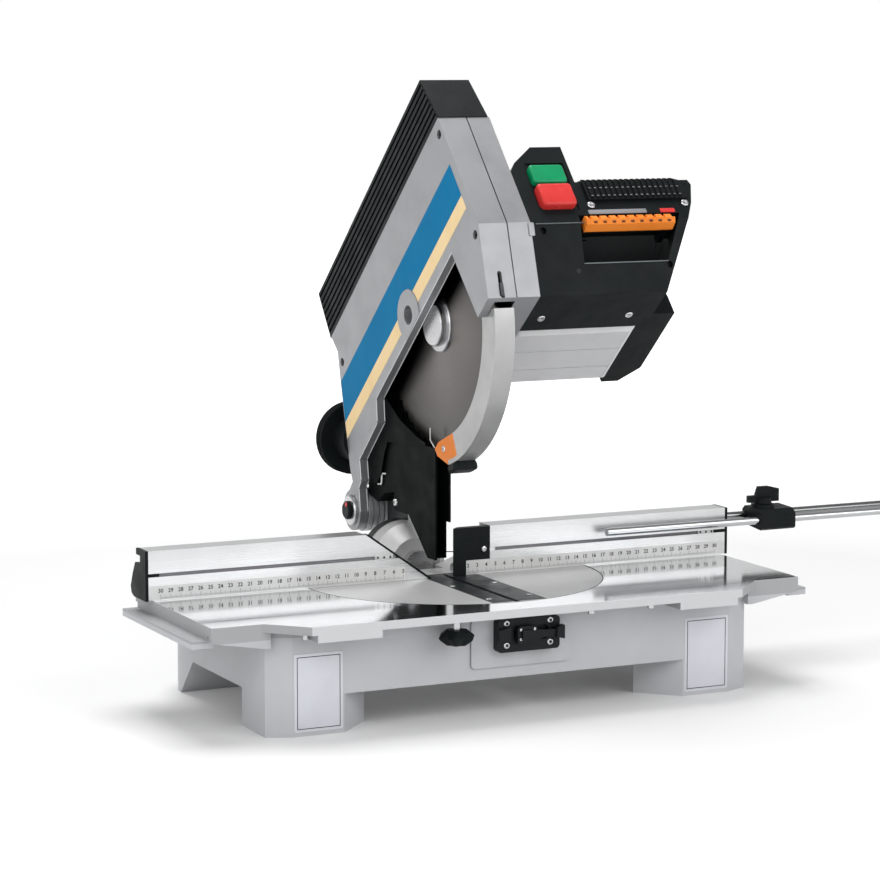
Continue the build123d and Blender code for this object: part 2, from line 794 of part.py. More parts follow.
# Chip chute behind the blade, open at the front and the top, and at the back towards the dust port
chute_left = -8.0
chute_right = 9.0
chute_floor = [(34, 121), (78, 158), (112.5, 158), (112.5, 176.5), (136.3, 171.6), (152.6, 161), (175, 167)]
chute_inside = [(33, 124), (77, 161), (109, 161), (109, 179.6), (137.3, 174.6), (153.2, 164.3), (172, 169.3)]
chute_top = [(175, 183), (158, 186), (150, 194), (140, 222), (132, 232), (16, 232)]
with BuildPart() as chip_chute:
    with BuildSketch(side_plane(chute_left)):
        Polygon((16, 121), *chute_floor, *chute_top, align=None)
    extrude(amount=chute_right - chute_left)
    # The right wall stands higher
    with BuildSketch(side_plane(chute_right - 2)):
        Polygon((60, 230), (133, 230), (120, 268), (96, 268), (60, 246), align=None)
    extrude(amount=2)
    with BuildSketch(side_plane(chute_left + 2)):
        Polygon((0, 124), *chute_inside, (172, 179), (185, 179), (185, 280), (0, 280), align=None)
    extrude(amount=chute_right - chute_left - 4, mode=Mode.SUBTRACT)
    # Floor and lower right wall stand back from the blade and the fence's end block
    with BuildSketch(side_plane(chute_left + 2)):
        Polygon((10, 110), (26, 110), (26, 158), (10, 158), align=None)
    extrude(amount=20, mode=Mode.SUBTRACT)
chip_chute.part.label = "chip_chute"

# Chop pivot: bolt, end cap and nut
with BuildPart() as chop_pivot_bolt:
    with BuildSketch(side_plane(-24)):
        with Locations((pivot_y, pivot_z)):
            Circle(7)
    extrude(amount=60)
    with BuildSketch(side_plane(-24)):
        with Locations((pivot_y, pivot_z)):
            Circle(15.5)
    extrude(amount=3.6)
    chamfer(chop_pivot_bolt.edges().group_by(Axis.X)[0], 1.2)
chop_pivot_bolt.part.label = "chop_pivot_bolt"

with BuildPart() as pivot_cap:
    with BuildSketch(side_plane(-28)):
        with Locations((pivot_y, pivot_z)):
            Circle(9.5)
    extrude(amount=4)
    chamfer(pivot_cap.edges().group_by(Axis.X)[0], 1.6)
pivot_cap.part.label = "pivot_cap"

with BuildPart() as pivot_nut:
    with BuildSketch(side_plane(28.4)):
        with Locations((pivot_y, pivot_z)):
            RegularPolygon(12, 6)
            Circle(7, mode=Mode.SUBTRACT)
    extrude(amount=7)
pivot_nut.part.label = "pivot_nut"

# Close-wound torsion spring that lifts the head
spring_wire = 2.4
spring_turns = 4
with BuildPart() as return_spring:
    with BuildSketch(Plane.XZ.offset(-pivot_y)):
        with Locations(*[(6.6 + 2.5 * turn, pivot_z + 12.5) for turn in range(spring_turns)]):
            Rectangle(spring_wire, spring_wire)
    revolve(axis=Axis((0, pivot_y, pivot_z), (1, 0, 0)))
return_spring.part.label = "return_spring"

# Left cover of the arm: side plate with lug, and the rim that meets the right housing
screw_places = [(151, 113), (148, -7), (-181, 90)]
with BuildPart() as left_cover:
    with BuildSketch(head_plane(cover_inside)):
        Polygon(*cover_outline, align=None)
        with Locations((pivot_along, pivot_across)):
            Circle(lug_radius)
    extrude(amount=cover_inside - cover_left)
    with BuildSketch(head_plane(seam)):
        Polygon(*arm_front_edge, *arm_mouth, *arm_rear_edge, align=None)
        Polygon(*arm_cavity, align=None, mode=Mode.SUBTRACT)
    extrude(amount=seam - cover_inside)
    # Round boss beside the hub, cut off by the edge of the cover
    with BuildSketch(head_plane(cover_left)):
        with Locations((-19, 27)):
            Circle(25)
        with Locations((0, arm_underside)):
            Rectangle(200, 100, align=(Align.CENTER, Align.MAX), mode=Mode.SUBTRACT)
    extrude(amount=0.8)
    with BuildSketch(head_plane(0)):
        with Locations((-19, 27)):
            Circle(9.5)
    extrude(amount=30, mode=Mode.SUBTRACT)
    # Bore of the chop pivot and recesses of the screws
    with BuildSketch(head_plane(0)):
        with Locations((pivot_along, pivot_across)):
            Circle(7 + running)
    extrude(amount=30, mode=Mode.SUBTRACT)
    with BuildSketch(head_plane(cover_left + 3)):
        with Locations(*screw_places):
            Circle(4.5)
    extrude(amount=5, mode=Mode.SUBTRACT)
    # Way through the rear rim to the dust port
    with BuildSketch(cross_plane(190)):
        with Locations((0, port_z)):
            Circle(9)
    extrude(amount=-40, mode=Mode.SUBTRACT)
    # Room for the top of the blade in the upper rim
    with BuildSketch(head_plane(4)):
        with Locations((0, arm_top)):
            Rectangle(100, 16)
    extrude(amount=8, mode=Mode.SUBTRACT)
    # Open joint against the right housing down the front
    with BuildSketch(head_plane(seam + 1)):
        Polygon(
            (arm_front + 1, arm_top + 1),
            (arm_front + 1, crease_across),
            (nose_along + 1, nose_across - 1),
            (nose_along - 1.5, nose_across - 1),
            (arm_front - 1.5, crease_across),
            (arm_front - 1.5, arm_top + 1),
            align=None,
        )
    extrude(amount=2.2, mode=Mode.SUBTRACT)
    # Slot of the guard catch in the sloping front
    with BuildSketch(catch_plane):
        SlotOverall(25, 4.4, rotation=90)
    extrude(amount=-12, mode=Mode.SUBTRACT)
left_cover.part.label = "left_cover"

with BuildPart() as cover_screws:
    with BuildSketch(head_plane(cover_left + 3)):
        with Locations(*screw_places):
            Circle(4.5)
    extrude(amount=1.6)
cover_screws.part.label = "cover_screws"

# Guard catch that slides in the slot
with BuildPart() as guard_catch:
    with BuildSketch(catch_plane):
        with Locations((0, -5)):
            SlotOverall(13, 3.6, rotation=90)
    extrude(amount=-5.6)
    with BuildSketch(catch_plane):
        with Locations((0, -5)):
            SlotOverall(13, 3.6, rotation=90)
    extrude(amount=1.5)
guard_catch.part.label = "guard_catch"

# Right housing: arm half, arbor and gear box, and the right lug
with BuildPart() as right_housing:
    with BuildSketch(head_plane(housing_right)):
        Polygon(
            *arm_front_edge,
            (76, -66),
            (-20, motor_low),
            (-46, -40),
            (-60, arm_underside),
            (-137, arm_underside),
            (-152, -8),
            (-200, -9),
            *arm_rear_edge,
            align=None,
        )
    extrude(amount=housing_right - seam)
    # Hollow of the arm, open to the left
    with BuildSketch(head_plane(housing_right - rim)):
        Polygon((152, 118), (152, 44), (-60, 44), (-90, 22), (-145, 22), (-205, 20), (-175, 118), align=None)
    extrude(amount=40, mode=Mode.SUBTRACT)
    # Neck and lug
    with BuildSketch(head_plane(28)):
        Polygon((-140, 60), *neck_front, *neck_back, (-234, 7), (-214, 45), align=None)
        with Locations((pivot_along, pivot_across)):
            Circle(lug_radius)
    extrude(amount=10)
    with BuildSketch(head_plane(40)):
        with Locations((pivot_along, pivot_across)):
            Circle(7 + running)
    extrude(amount=40, mode=Mode.SUBTRACT)
    # Boss on which the guard turns, bearing seat and gear pocket
    with BuildSketch(head_plane(seam)):
        Circle(guard_hub)
    extrude(amount=3.6)
    with BuildSketch(head_plane(15.5)):
        Circle(16)
    extrude(amount=20, mode=Mode.SUBTRACT)
    with BuildSketch(head_plane(housing_right)):
        Circle(9)
    extrude(amount=30, mode=Mode.SUBTRACT)
    with BuildSketch(head_plane(housing_right)):
        Circle(25.5)
        with Locations((motor_along, motor_across)):
            Circle(12.5)
    extrude(amount=housing_right - 16.5, mode=Mode.SUBTRACT)
right_housing.part.label = "right_housing"

# Ribbed black cover along the back of the arm
with BuildPart() as rear_cover:
    with BuildSketch(head_plane(32.5)):
        Polygon((-188, arm_top), (161, arm_top), (153, 180), (-182, 180), align=None)
    extrude(amount=32.5 - cover_left)
    with BuildSketch(head_plane(28.5)):
        Polygon((-183, arm_top - 1), (156, arm_top - 1), (149, 176), (-178, 176), align=None)
    extrude(amount=28.5 - cover_left - 4, mode=Mode.SUBTRACT)
    # Lengthwise grooves on both sides
    with BuildSketch(head_plane(cover_left + 1.6), head_plane(40)):
        with Locations(*[(-20, arm_top + 6.5 + 7 * i) for i in range(7)]):
            Rectangle(400, 3.2)
    extrude(amount=9.1, mode=Mode.SUBTRACT)
rear_cover.part.label = "rear_cover"

# Dust port on the rear edge of the arm
with BuildPart() as dust_port:
    with BuildSketch(cross_plane(port_end)):
        with Locations((0, port_z)):
            Circle(24)
    extrude(amount=60)
    with BuildSketch(cross_plane(port_end)):
        with Locations((0, port_z)):
            Circle(37)
    extrude(amount=14)
    with BuildSketch(cross_plane(port_end)):
        with Locations((0, port_z)):
            Circle(20)
    extrude(amount=32, mode=Mode.SUBTRACT)
    with BuildSketch(cross_plane(port_end)):
        with Locations((0, port_z)):
            Circle(17)
    extrude(amount=60, mode=Mode.SUBTRACT)
    # Front end cut to the slope of the arm's rear edge
    with BuildSketch(head_plane(60)):
        Polygon((-270, -64), (-234, 7), (-197, 80), (-160, 153), (0, 153), (0, -64), align=None)
    extrude(amount=120, mode=Mode.SUBTRACT)
dust_port.part.label = "dust_port"

# Motor housing: a box section with shallow lines along it, bored for the motor
with BuildPart() as motor_housing:
    with BuildSketch(head_plane(motor_right)):
        with Locations(((motor_back + motor_front) / 2, (motor_low + motor_high) / 2)):
            RectangleRounded(motor_front - motor_back, motor_high - motor_low, 6)
        with Locations(*[(along, motor_low) for along in (4, 33, 62)]):
            Rectangle(1.0, 1.6, mode=Mode.SUBTRACT)
    extrude(amount=motor_right - housing_right)
    with BuildSketch(head_plane(motor_right)):
        with Locations((motor_along, motor_across)):
            Circle(motor_bore)
    extrude(amount=motor_right - 46, mode=Mode.SUBTRACT)
    with BuildSketch(head_plane(44.2)):
        Circle(14)
        with Locations((motor_along, motor_across)):
            Circle(13)
    extrude(amount=20, mode=Mode.SUBTRACT)
    with BuildSketch(head_plane(48)):
        with Locations((motor_along, motor_across)):
            Circle(6.5)
    extrude(amount=5, mode=Mode.SUBTRACT)
motor_housing.part.label = "motor_housing"

# Motor end cap with cooling slots and the far bearing seat
with BuildPart() as motor_end_cap:
    with BuildSketch(head_plane(cap_right)):
        Polygon(
            (motor_back - 3, motor_low),
            (cap_front, motor_low),
            (cap_front, -42),
            (78, 20),
            (66, motor_high),
            (motor_back + 6, motor_high),
            (motor_back - 3, 27),
            align=None,
        )
    extrude(amount=cap_right - motor_right)
    with BuildSketch(top_plane(-100)):
        Polygon((motor_back - 9, 178), (motor_back - 9, 210), (-2, 210), (-2, cap_right), align=None)
    extrude(amount=200, mode=Mode.SUBTRACT)
    with BuildSketch(head_plane(178)):
        with Locations((motor_along, motor_across)):
            Circle(36)
    extrude(amount=30, mode=Mode.SUBTRACT)
    with BuildSketch(head_plane(186.4)):
        with Locations((motor_along, motor_across)):
            Circle(13)
    extrude(amount=20, mode=Mode.SUBTRACT)
    with BuildSketch(head_plane(cap_right + 1)):
        with Locations((motor_along, motor_across)):
            with PolarLocations(25, 12):
                Rectangle(15, 4)
    extrude(amount=30, mode=Mode.SUBTRACT)
motor_end_cap.part.label = "motor_end_cap"

with BuildPart() as stator:
    with BuildSketch(head_plane(128)):
        with Locations((motor_along, motor_across)):
            Circle(motor_bore)
            Circle(26, mode=Mode.SUBTRACT)
    extrude(amount=66)
stator.part.label = "stator"


def button_outline(span, gap):
    """Outline of a button with cut corners, drawn in by a gap all round."""
    low, high = span[0] + gap, span[1] - gap
    left, right = button_left + gap, button_right - gap
    return [
        (left + button_corner, low),
        (right - button_corner, low),
        (right, low + button_corner),
        (right, high - button_corner),
        (right - button_corner, high),
        (left + button_corner, high),
        (left, high - button_corner),
        (left, low + button_corner),
    ]


# Screws of the handle: two in the grip's front, drawn in (X, across), and two in the underside
screw_radius = 4.0
grip_screws = [(106, 15.8), (208.4, 15.8)]
underside_screws = [(93.3, 50), (93.3, 145)]
underside_seat = -66.0

# Handle housing: switch tower, panel and the open grip
with BuildPart() as handle_housing:
    with BuildSketch(head_plane(grip_end + 4)):
        Polygon(
            (arm_front, handle_top),
            (arm_front, -3),
            (130, -68),
            (motor_front, -66),
            (motor_front, 40),
            (112, handle_top),
            align=None,
        )
    extrude(amount=grip_end + 4 - housing_right)
    with BuildSketch(front_plane(60)):
        Polygon(
            (housing_right, -70),
            (housing_right, 58),
            (42, 69),
            (65, handle_top),
            (98, handle_top),
            (98, grip_high),
            (grip_end, grip_high),
            (grip_end + 2, 38),
            (216, 16),
            (170, -70),
            align=None,
        )
    extrude(amount=110, mode=Mode.INTERSECT)
    # Finger opening, and the space behind the grip
    with BuildSketch(front_plane(finger_back)):
        Polygon((88, grip_low - 0.4), (198, grip_low - 0.4), (177, -40), (86, -40), align=None)
    extrude(amount=90, mode=Mode.SUBTRACT)
    with BuildSketch(head_plane(grip_end + 10)):
        Polygon(
            (60, 24),
            (60, 100),
            (grip_back, 100),
            (grip_back, -40),
            (finger_back, -40),
            (finger_back, grip_high + 2),
            (rail_back, grip_high + 2),
            (rail_back, 24),
            align=None,
        )
    extrude(amount=grip_end + 10 - grip_left, mode=Mode.SUBTRACT)
    # The end cap of the motor takes the lower rear corner
    with BuildSketch(head_plane(grip_end + 10)):
        Polygon(
            (60, -80),
            (cap_front, -80),
            (cap_front, 0),
            (finger_back, 0),
            (finger_back, 25),
            (60, 25),
            align=None,
        )
    extrude(amount=grip_end + 10 - motor_right, mode=Mode.SUBTRACT)
    # Shallow field round the buttons, and their pockets
    with BuildSketch(front_plane(arm_front - 1.2)):
        Polygon((52, 68), (48.5, 11), (52, 5.5), (88, 5.5), (92, 11), (93.5, 68), align=None)
    extrude(amount=10, mode=Mode.SUBTRACT)
    with BuildSketch(front_plane(button_floor)):
        for span in (green_span, red_span):
            Polygon(*button_outline(span, 0), align=None)
    extrude(amount=40, mode=Mode.SUBTRACT)
    # Screw holes in the sloping panel
    with BuildSketch(slope_plane(47, -11), slope_plane(178, -44)):
        Circle(3.4)
    extrude(amount=-4, mode=Mode.SUBTRACT)
    # Seats of the screws in the underside
    with BuildSketch(top_plane(underside_seat)):
        with Locations(*underside_screws):
            Circle(screw_radius)
    extrude(amount=-10, mode=Mode.SUBTRACT)
    # Bores of the trigger's pins
    with BuildSketch(head_plane(206)):
        with Locations((trigger_along, trigger_across)):
            Circle(2.5 + running)
    extrude(amount=126, mode=Mode.SUBTRACT)
handle_housing.part.label = "handle_housing"

# Ribbed sleeve on the grip
sleeve = [(163, 20), (163, 41), (157, 47.5), (129, 47.5), (123, 41), (123, 20)]
rib = [(164.3, 22), (164.3, 41.6), (157.6, 48.8), (128.4, 48.8), (121.7, 41.6), (121.7, 22)]
with BuildPart() as grip_cover:
    with BuildSketch(head_plane(212)):
        Polygon(*sleeve, align=None)
    extrude(amount=108)
    with BuildSketch(*[head_plane(110 + 6 * i) for i in range(rib_count)]):
        Polygon(*rib, align=None)
    extrude(amount=2.8)
    with BuildSketch(head_plane(230)):
        Polygon((grip_back, 0), (arm_front, 0), (arm_front, grip_high), (grip_back, grip_high), align=None)
    extrude(amount=150, mode=Mode.SUBTRACT)
grip_cover.part.label = "grip_cover"

# Screws in the grip's front and in the underside of the handle
with BuildPart() as handle_screws:
    with BuildSketch(front_plane(arm_front)):
        with Locations(*grip_screws):
            Circle(screw_radius)
    extrude(amount=1.4)
    with BuildSketch(top_plane(underside_seat)):
        with Locations(*underside_screws):
            Circle(screw_radius)
    extrude(amount=-1.6)
handle_screws.part.label = "handle_screws"

# Bearings of the arbor and of the motor
with BuildPart() as arbor_bearings:
    with BuildSketch(head_plane(15.5)):
        Circle(16)
        Circle(arbor_radius + running, mode=Mode.SUBTRACT)
    extrude(amount=8)
    with BuildSketch(head_plane(43.5)):
        Circle(14)
        Circle(arbor_radius + running, mode=Mode.SUBTRACT)
    extrude(amount=8)
arbor_bearings.part.label = "arbor_bearings"

with BuildPart() as motor_bearings:
    with BuildSketch(head_plane(43.5), head_plane(186.4)):
        with Locations((motor_along, motor_across)):
            Circle(13)
            Circle(5 + running, mode=Mode.SUBTRACT)
    extrude(amount=8)
motor_bearings.part.label = "motor_bearings"

# Blade with raked teeth
tooth_pitch = 360 / tooth_count
blade_outline = []
for tooth in range(tooth_count):
    blade_outline.append(ring_point(blade_radius, tooth * tooth_pitch))
    blade_outline.append(ring_point(blade_radius - 5, tooth * tooth_pitch + 1.0))
    blade_outline.append(ring_point(blade_radius - 0.8, (tooth + 0.6) * tooth_pitch))
with BuildPart() as saw_blade:
    with BuildSketch(head_plane(blade_half)):
        Polygon(*blade_outline, align=None)
        Circle(15, mode=Mode.SUBTRACT)
    extrude(amount=2 * blade_half)
saw_blade.part.label = "saw_blade"

with BuildPart() as arbor_shaft:
    with BuildSketch(head_plane(43.8)):
        Circle(arbor_radius)
    extrude(amount=43.8 + 10.4)
arbor_shaft.part.label = "arbor_shaft"

with BuildPart() as inner_flange:
    with BuildSketch(head_plane(6.5)):
        Circle(flange_radius)
    extrude(amount=6.5 - blade_half)
    with BuildSketch(head_plane(blade_half)):
        Circle(15)
    extrude(amount=2 * blade_half)
    with BuildSketch(head_plane(10)):
        Circle(arbor_radius)
    extrude(amount=20, mode=Mode.SUBTRACT)
inner_flange.part.label = "inner_flange"

with BuildPart() as outer_flange:
    with BuildSketch(head_plane(-blade_half)):
        Circle(flange_radius)
    extrude(amount=2)
    with BuildSketch(head_plane(-blade_half - 2)):
        Circle(flange_radius)
    extrude(amount=3, taper=45)
    with BuildSketch(head_plane(10)):
        Circle(arbor_radius)
    extrude(amount=20, mode=Mode.SUBTRACT)
outer_flange.part.label = "outer_flange"

with BuildPart() as arbor_nut:
    with BuildSketch(head_plane(-blade_half - 5)):
        RegularPolygon(11, 6)
        Circle(arbor_radius, mode=Mode.SUBTRACT)
    extrude(amount=4.4)
arbor_nut.part.label = "arbor_nut"

# Reduction gears between motor and arbor
with BuildPart() as driven_gear:
    with BuildSketch(head_plane(30)):
        Polygon(*gear_outline(wheel_teeth, 1.0, 2.7, motor_angle), align=None)
        Circle(arbor_radius, mode=Mode.SUBTRACT)
    extrude(amount=12)
driven_gear.part.label = "driven_gear"

pinion_angle = motor_angle + 180 + 180 / pinion_teeth
with BuildPart() as motor_shaft:
    with BuildSketch(head_plane(30)):
        with Locations((motor_along, motor_across)):
            Polygon(*gear_outline(pinion_teeth, 2.2, 1.5, pinion_angle), align=None)
    extrude(amount=12)
    with BuildSketch(head_plane(186)):
        with Locations((motor_along, motor_across)):
            Circle(5)
    extrude(amount=156)
motor_shaft.part.label = "motor_shaft"

with BuildPart() as rotor_core:
    with BuildSketch(head_plane(124)):
        with Locations((motor_along, motor_across)):
            Circle(25)
            Circle(5, mode=Mode.SUBTRACT)
    extrude(amount=58)
rotor_core.part.label = "rotor_core"

with BuildPart() as cooling_fan:
    with BuildSketch(head_plane(142)):
        with Locations((motor_along, motor_across)):
            Circle(36)
    extrude(amount=2)
    with BuildSketch(head_plane(154)):
        with Locations((motor_along, motor_across)):
            Circle(10)
            with PolarLocations(22, 9):
                Rectangle(26, 1.8)
    extrude(amount=12)
    with BuildSketch(head_plane(160)):
        with Locations((motor_along, motor_across)):
            Circle(5)
    extrude(amount=30, mode=Mode.SUBTRACT)
cooling_fan.part.label = "cooling_fan"

# Lower guard: right plate on the hub ring, rim and left flange; both sides end in a pointed tip
guard_wedge = sector(guard_outer + 10, guard_low_end, guard_top_end)
tip_outline = [
    ring_point(guard_inner, bumper_start),
    ring_point(114.3, -124.4),
    ring_point(121.2, -128.6),
    ring_point(127.7, -126.1),
    ring_point(137.5, -116.6),
    ring_point(133.8, guard_low_end),
    ring_point(133.8, bumper_start),
]
tip_screw = ring_point(121.5, -119.5)
with BuildPart() as lower_guard:
    with BuildSketch(head_plane(guard_right)):
        Circle(guard_outer)
        Polygon(*guard_wedge, align=None, mode=Mode.INTERSECT)
        Polygon(*tip_outline, align=None)
        Circle(guard_hub + 10)
        Circle(guard_hub + running, mode=Mode.SUBTRACT)
    extrude(amount=guard_sheet - 0.3)
    with BuildSketch(head_plane(guard_right)):
        Circle(guard_outer)
        Circle(guard_outer - 4, mode=Mode.SUBTRACT)
        Polygon(*guard_wedge, align=None, mode=Mode.INTERSECT)
    extrude(amount=guard_right - guard_left)
    with BuildSketch(head_plane(guard_left + guard_sheet)):
        Circle(guard_outer)
        Circle(guard_inner, mode=Mode.SUBTRACT)
        Polygon(*guard_wedge, align=None, mode=Mode.INTERSECT)
        Polygon(*tip_outline, align=None)
    extrude(amount=guard_sheet)
    # Seats of the tip pieces
    with BuildSketch(head_plane(guard_right + 1)):
        Polygon(*tip_outline, align=None)
    extrude(amount=1 + bumper_sheet, mode=Mode.SUBTRACT)
    with BuildSketch(head_plane(guard_left + bumper_sheet)):
        Polygon(*tip_outline, align=None)
    extrude(amount=1 + bumper_sheet, mode=Mode.SUBTRACT)
lower_guard.part.label = "lower_guard"

# Orange tip pieces on both sides of the guard's lower end
with BuildPart() as guard_bumpers:
    with BuildSketch(head_plane(guard_right), head_plane(guard_left + bumper_sheet)):
        Polygon(*tip_outline, align=None)
        with Locations(tip_screw):
            Circle(3.6, mode=Mode.SUBTRACT)
    extrude(amount=bumper_sheet)
guard_bumpers.part.label = "guard_bumpers"

with BuildPart() as guard_screws:
    with BuildSketch(head_plane(guard_right), head_plane(guard_left + bumper_sheet)):
        with Locations(tip_screw):
            Circle(3.6)
    extrude(amount=bumper_sheet)
guard_screws.part.label = "guard_screws"

with BuildPart() as guard_knob:
    with BuildSketch(head_plane(13)):
        Circle(guard_outer + 9)
        Circle(guard_outer, mode=Mode.SUBTRACT)
        Polygon(*sector(guard_outer + 20, guard_low_end + 0.4, -109), align=None, mode=Mode.INTERSECT)
    extrude(amount=26)
    chamfer(guard_knob.edges().group_by(Axis.X)[0], 2.5)
    chamfer(guard_knob.edges().group_by(Axis.X)[-1], 2.5)
guard_knob.part.label = "guard_knob"

# Start and stop buttons with bevelled faces, and the trigger in the grip
button_gap = 0.4
with BuildPart() as start_button:
    with BuildSketch(front_plane(button_floor + 5)):
        Polygon(*button_outline(green_span, button_gap), align=None)
    extrude(amount=arm_front - button_floor + 0.5)
    chamfer(start_button.faces().sort_by(Axis(front_plane(0).origin, up_arm))[-1].edges(), 3)
start_button.part.label = "start_button"

with BuildPart() as stop_button:
    with BuildSketch(front_plane(button_floor + 5)):
        Polygon(*button_outline(red_span, button_gap), align=None)
    extrude(amount=arm_front - button_floor + 2.5)
    chamfer(stop_button.faces().sort_by(Axis(front_plane(0).origin, up_arm))[-1].edges(), 4)
stop_button.part.label = "stop_button"

# Trigger with a notched upper face and a smooth lip below
trigger_left = 92.0
trigger_right = 188.0
trigger_arm = 6.0
trigger_profile = [(146, 0), (163, 0), (164.8, -5), (162, -9.5), (153, -11), (146, -8)]
with BuildPart() as trigger_bar:
    with BuildSketch(head_plane(trigger_right)):
        Polygon(*trigger_profile, align=None)
    extrude(amount=trigger_right - trigger_left)
    with BuildSketch(*[head_plane(trigger_left + 6 + 10 * i) for i in range(10)]):
        Polygon((158, 1), (170, 1), (170, -4.6), (162.2, -4.6), align=None)
    extrude(amount=3, mode=Mode.SUBTRACT)
    # Arms at both ends, with the pins on which it swings
    with BuildSketch(head_plane(trigger_right), head_plane(trigger_left + trigger_arm)):
        Polygon((128, 0), (150, 0), (150, -7), (128, -7), align=None)
    extrude(amount=trigger_arm)
    with BuildSketch(head_plane(204), head_plane(104)):
        with Locations((trigger_along, trigger_across)):
            Circle(2.5)
    extrude(amount=22)
trigger_bar.part.label = "trigger_bar"

# Screw of the end block
with BuildPart() as block_screw:
    with Locations((37, 0, table_top + 25)):
        Cylinder(3, 4, rotation=(90, 0, 0))
block_screw.part.label = "block_screw"

os.makedirs("parts", exist_ok=True)
pieces = [
    base_casting, turntable_cradle, front_panel, left_fence, right_fence, fence_end_caps,
    fence_end_liner, fence_end_block, block_screw, rule_tapes, fence_bolts, index_bracket,
    bracket_screws, index_lever, lock_knob, stop_guide_rod, stop_clamp_block, stop_wing_knob, stop_rod,
    turntable, table_insert, turntable_bolt, bevel_pin, bevel_lock_lever, tilt_bracket, chip_chute,
    chop_pivot_bolt, pivot_cap, pivot_nut, return_spring, left_cover, cover_screws, guard_catch,
    right_housing, rear_cover, dust_port, motor_housing, motor_end_cap, stator, handle_housing,
    grip_cover, handle_screws, arbor_bearings, motor_bearings, saw_blade, arbor_shaft, inner_flange,
    outer_flange, arbor_nut, driven_gear, motor_shaft, rotor_core, cooling_fan, lower_guard,
    guard_bumpers, guard_screws, guard_knob, start_button, stop_button, trigger_bar,
]
for piece in pieces:
    export_step(piece.part, f"parts/{piece.part.label}.step")
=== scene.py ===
"""Dresses the miter saw: finishes, scales, plates, fasteners, studio light and camera."""
import logging
import math
from dataclasses import dataclass
from enum import Enum
from typing import Optional, Sequence, Union

import bmesh
import bpy
from mathutils import Matrix, Vector


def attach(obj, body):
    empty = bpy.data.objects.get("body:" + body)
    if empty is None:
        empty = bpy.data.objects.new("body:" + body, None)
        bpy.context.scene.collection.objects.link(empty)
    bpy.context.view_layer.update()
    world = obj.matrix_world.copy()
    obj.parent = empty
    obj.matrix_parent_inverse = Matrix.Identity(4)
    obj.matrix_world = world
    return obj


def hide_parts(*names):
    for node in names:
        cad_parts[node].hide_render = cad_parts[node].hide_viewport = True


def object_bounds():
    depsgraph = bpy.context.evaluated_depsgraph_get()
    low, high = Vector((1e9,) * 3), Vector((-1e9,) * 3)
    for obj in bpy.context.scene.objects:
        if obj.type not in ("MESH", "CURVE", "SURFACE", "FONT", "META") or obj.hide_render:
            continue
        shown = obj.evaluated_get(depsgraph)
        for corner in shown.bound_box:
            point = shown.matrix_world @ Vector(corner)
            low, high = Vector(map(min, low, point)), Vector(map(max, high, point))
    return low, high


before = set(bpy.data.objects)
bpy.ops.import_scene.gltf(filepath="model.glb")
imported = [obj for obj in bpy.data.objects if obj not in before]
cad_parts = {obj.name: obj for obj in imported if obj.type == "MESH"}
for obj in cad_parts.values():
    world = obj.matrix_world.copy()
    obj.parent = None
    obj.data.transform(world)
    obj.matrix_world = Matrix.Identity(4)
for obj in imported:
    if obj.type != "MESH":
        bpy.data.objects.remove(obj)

LOG = logging.getLogger("miter_saw")
CAD_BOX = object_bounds()
MM = 0.001

# Driving places and directions of the machine, in millimetres, the same as in the frame.
# ARM_FRONT, CREASE, NOSE and ARM_TOP are places along and across the arm, from the blade's hub.
TABLE_TOP = 107.0
HUB = Vector((0.0, 19.0, 353.0))
ARM_SLOPE = math.radians(42.0)
ALONG = Vector((0.0, -math.cos(ARM_SLOPE), math.sin(ARM_SLOPE)))
OVER = Vector((0.0, math.sin(ARM_SLOPE), math.cos(ARM_SLOPE)))
COVER_FACE = -20.0
ARM_FRONT = 160.0
CREASE = (ARM_FRONT, -3.0)
NOSE = (130.0, -68.0)
ARM_TOP = 126.5
GROOVE = (TABLE_TOP + 22.7, TABLE_TOP + 25.8)

Colour = tuple[float, float, float]
Size3 = tuple[float, float, float]
Point2 = tuple[float, float]
Box = tuple[float, float, float, float]
Tree = bpy.types.NodeTree
Node = bpy.types.Node
Socket = bpy.types.NodeSocket
Mesh = bpy.types.Mesh


def srgb(code: str) -> Colour:
    """Turns a six-digit colour code into linear light.

    Args:
        code: Red, green and blue as two hexadecimal digits each.

    Returns:
        The three linear values.
    """
    values = [int(code[i:i + 2], 16) / 255 for i in (0, 2, 4)]
    return tuple(v / 12.92 if v <= 0.04045 else ((v + 0.055) / 1.055) ** 2.4 for v in values)


class Body(str, Enum):
    """Moving bodies of the frame that carry added pieces."""

    BASE = "base"
    TURNTABLE = "turntable"
    TILT = "tilt_frame"
    HEAD = "head"
    BLADE = "blade"
    GUARD = "guard"
    TRIGGER = "trigger"
    START = "start_button"
    STOP = "stop_button"
    LEVER = "index_lever"
    KNOB = "lock_knob"


class Slot(str, Enum):
    """Material slots of the record."""

    BASE_GREY = "base_grey"
    POLISHED = "polished_aluminium"
    TURNTABLE = "turntable_grey"
    SHELL = "silver_shell"
    MOTOR = "motor_silver"
    BLACK = "black_plastic"
    RUBBER = "grip_rubber"
    SCREW = "screw_steel"
    STEEL = "steel"
    RULE = "rule_tape"
    ORANGE = "orange_plastic"
    GREEN = "green_plastic"
    RED = "red_plastic"


# Node trees


class Kind(str, Enum):
    """Kinds of node sockets."""

    FLOAT = "NodeSocketFloat"
    INT = "NodeSocketInt"
    VECTOR = "NodeSocketVector"
    ROTATION = "NodeSocketRotation"
    COLOUR = "NodeSocketColor"
    OBJECT = "NodeSocketObject"
    MATERIAL = "NodeSocketMaterial"
    GEOMETRY = "NodeSocketGeometry"


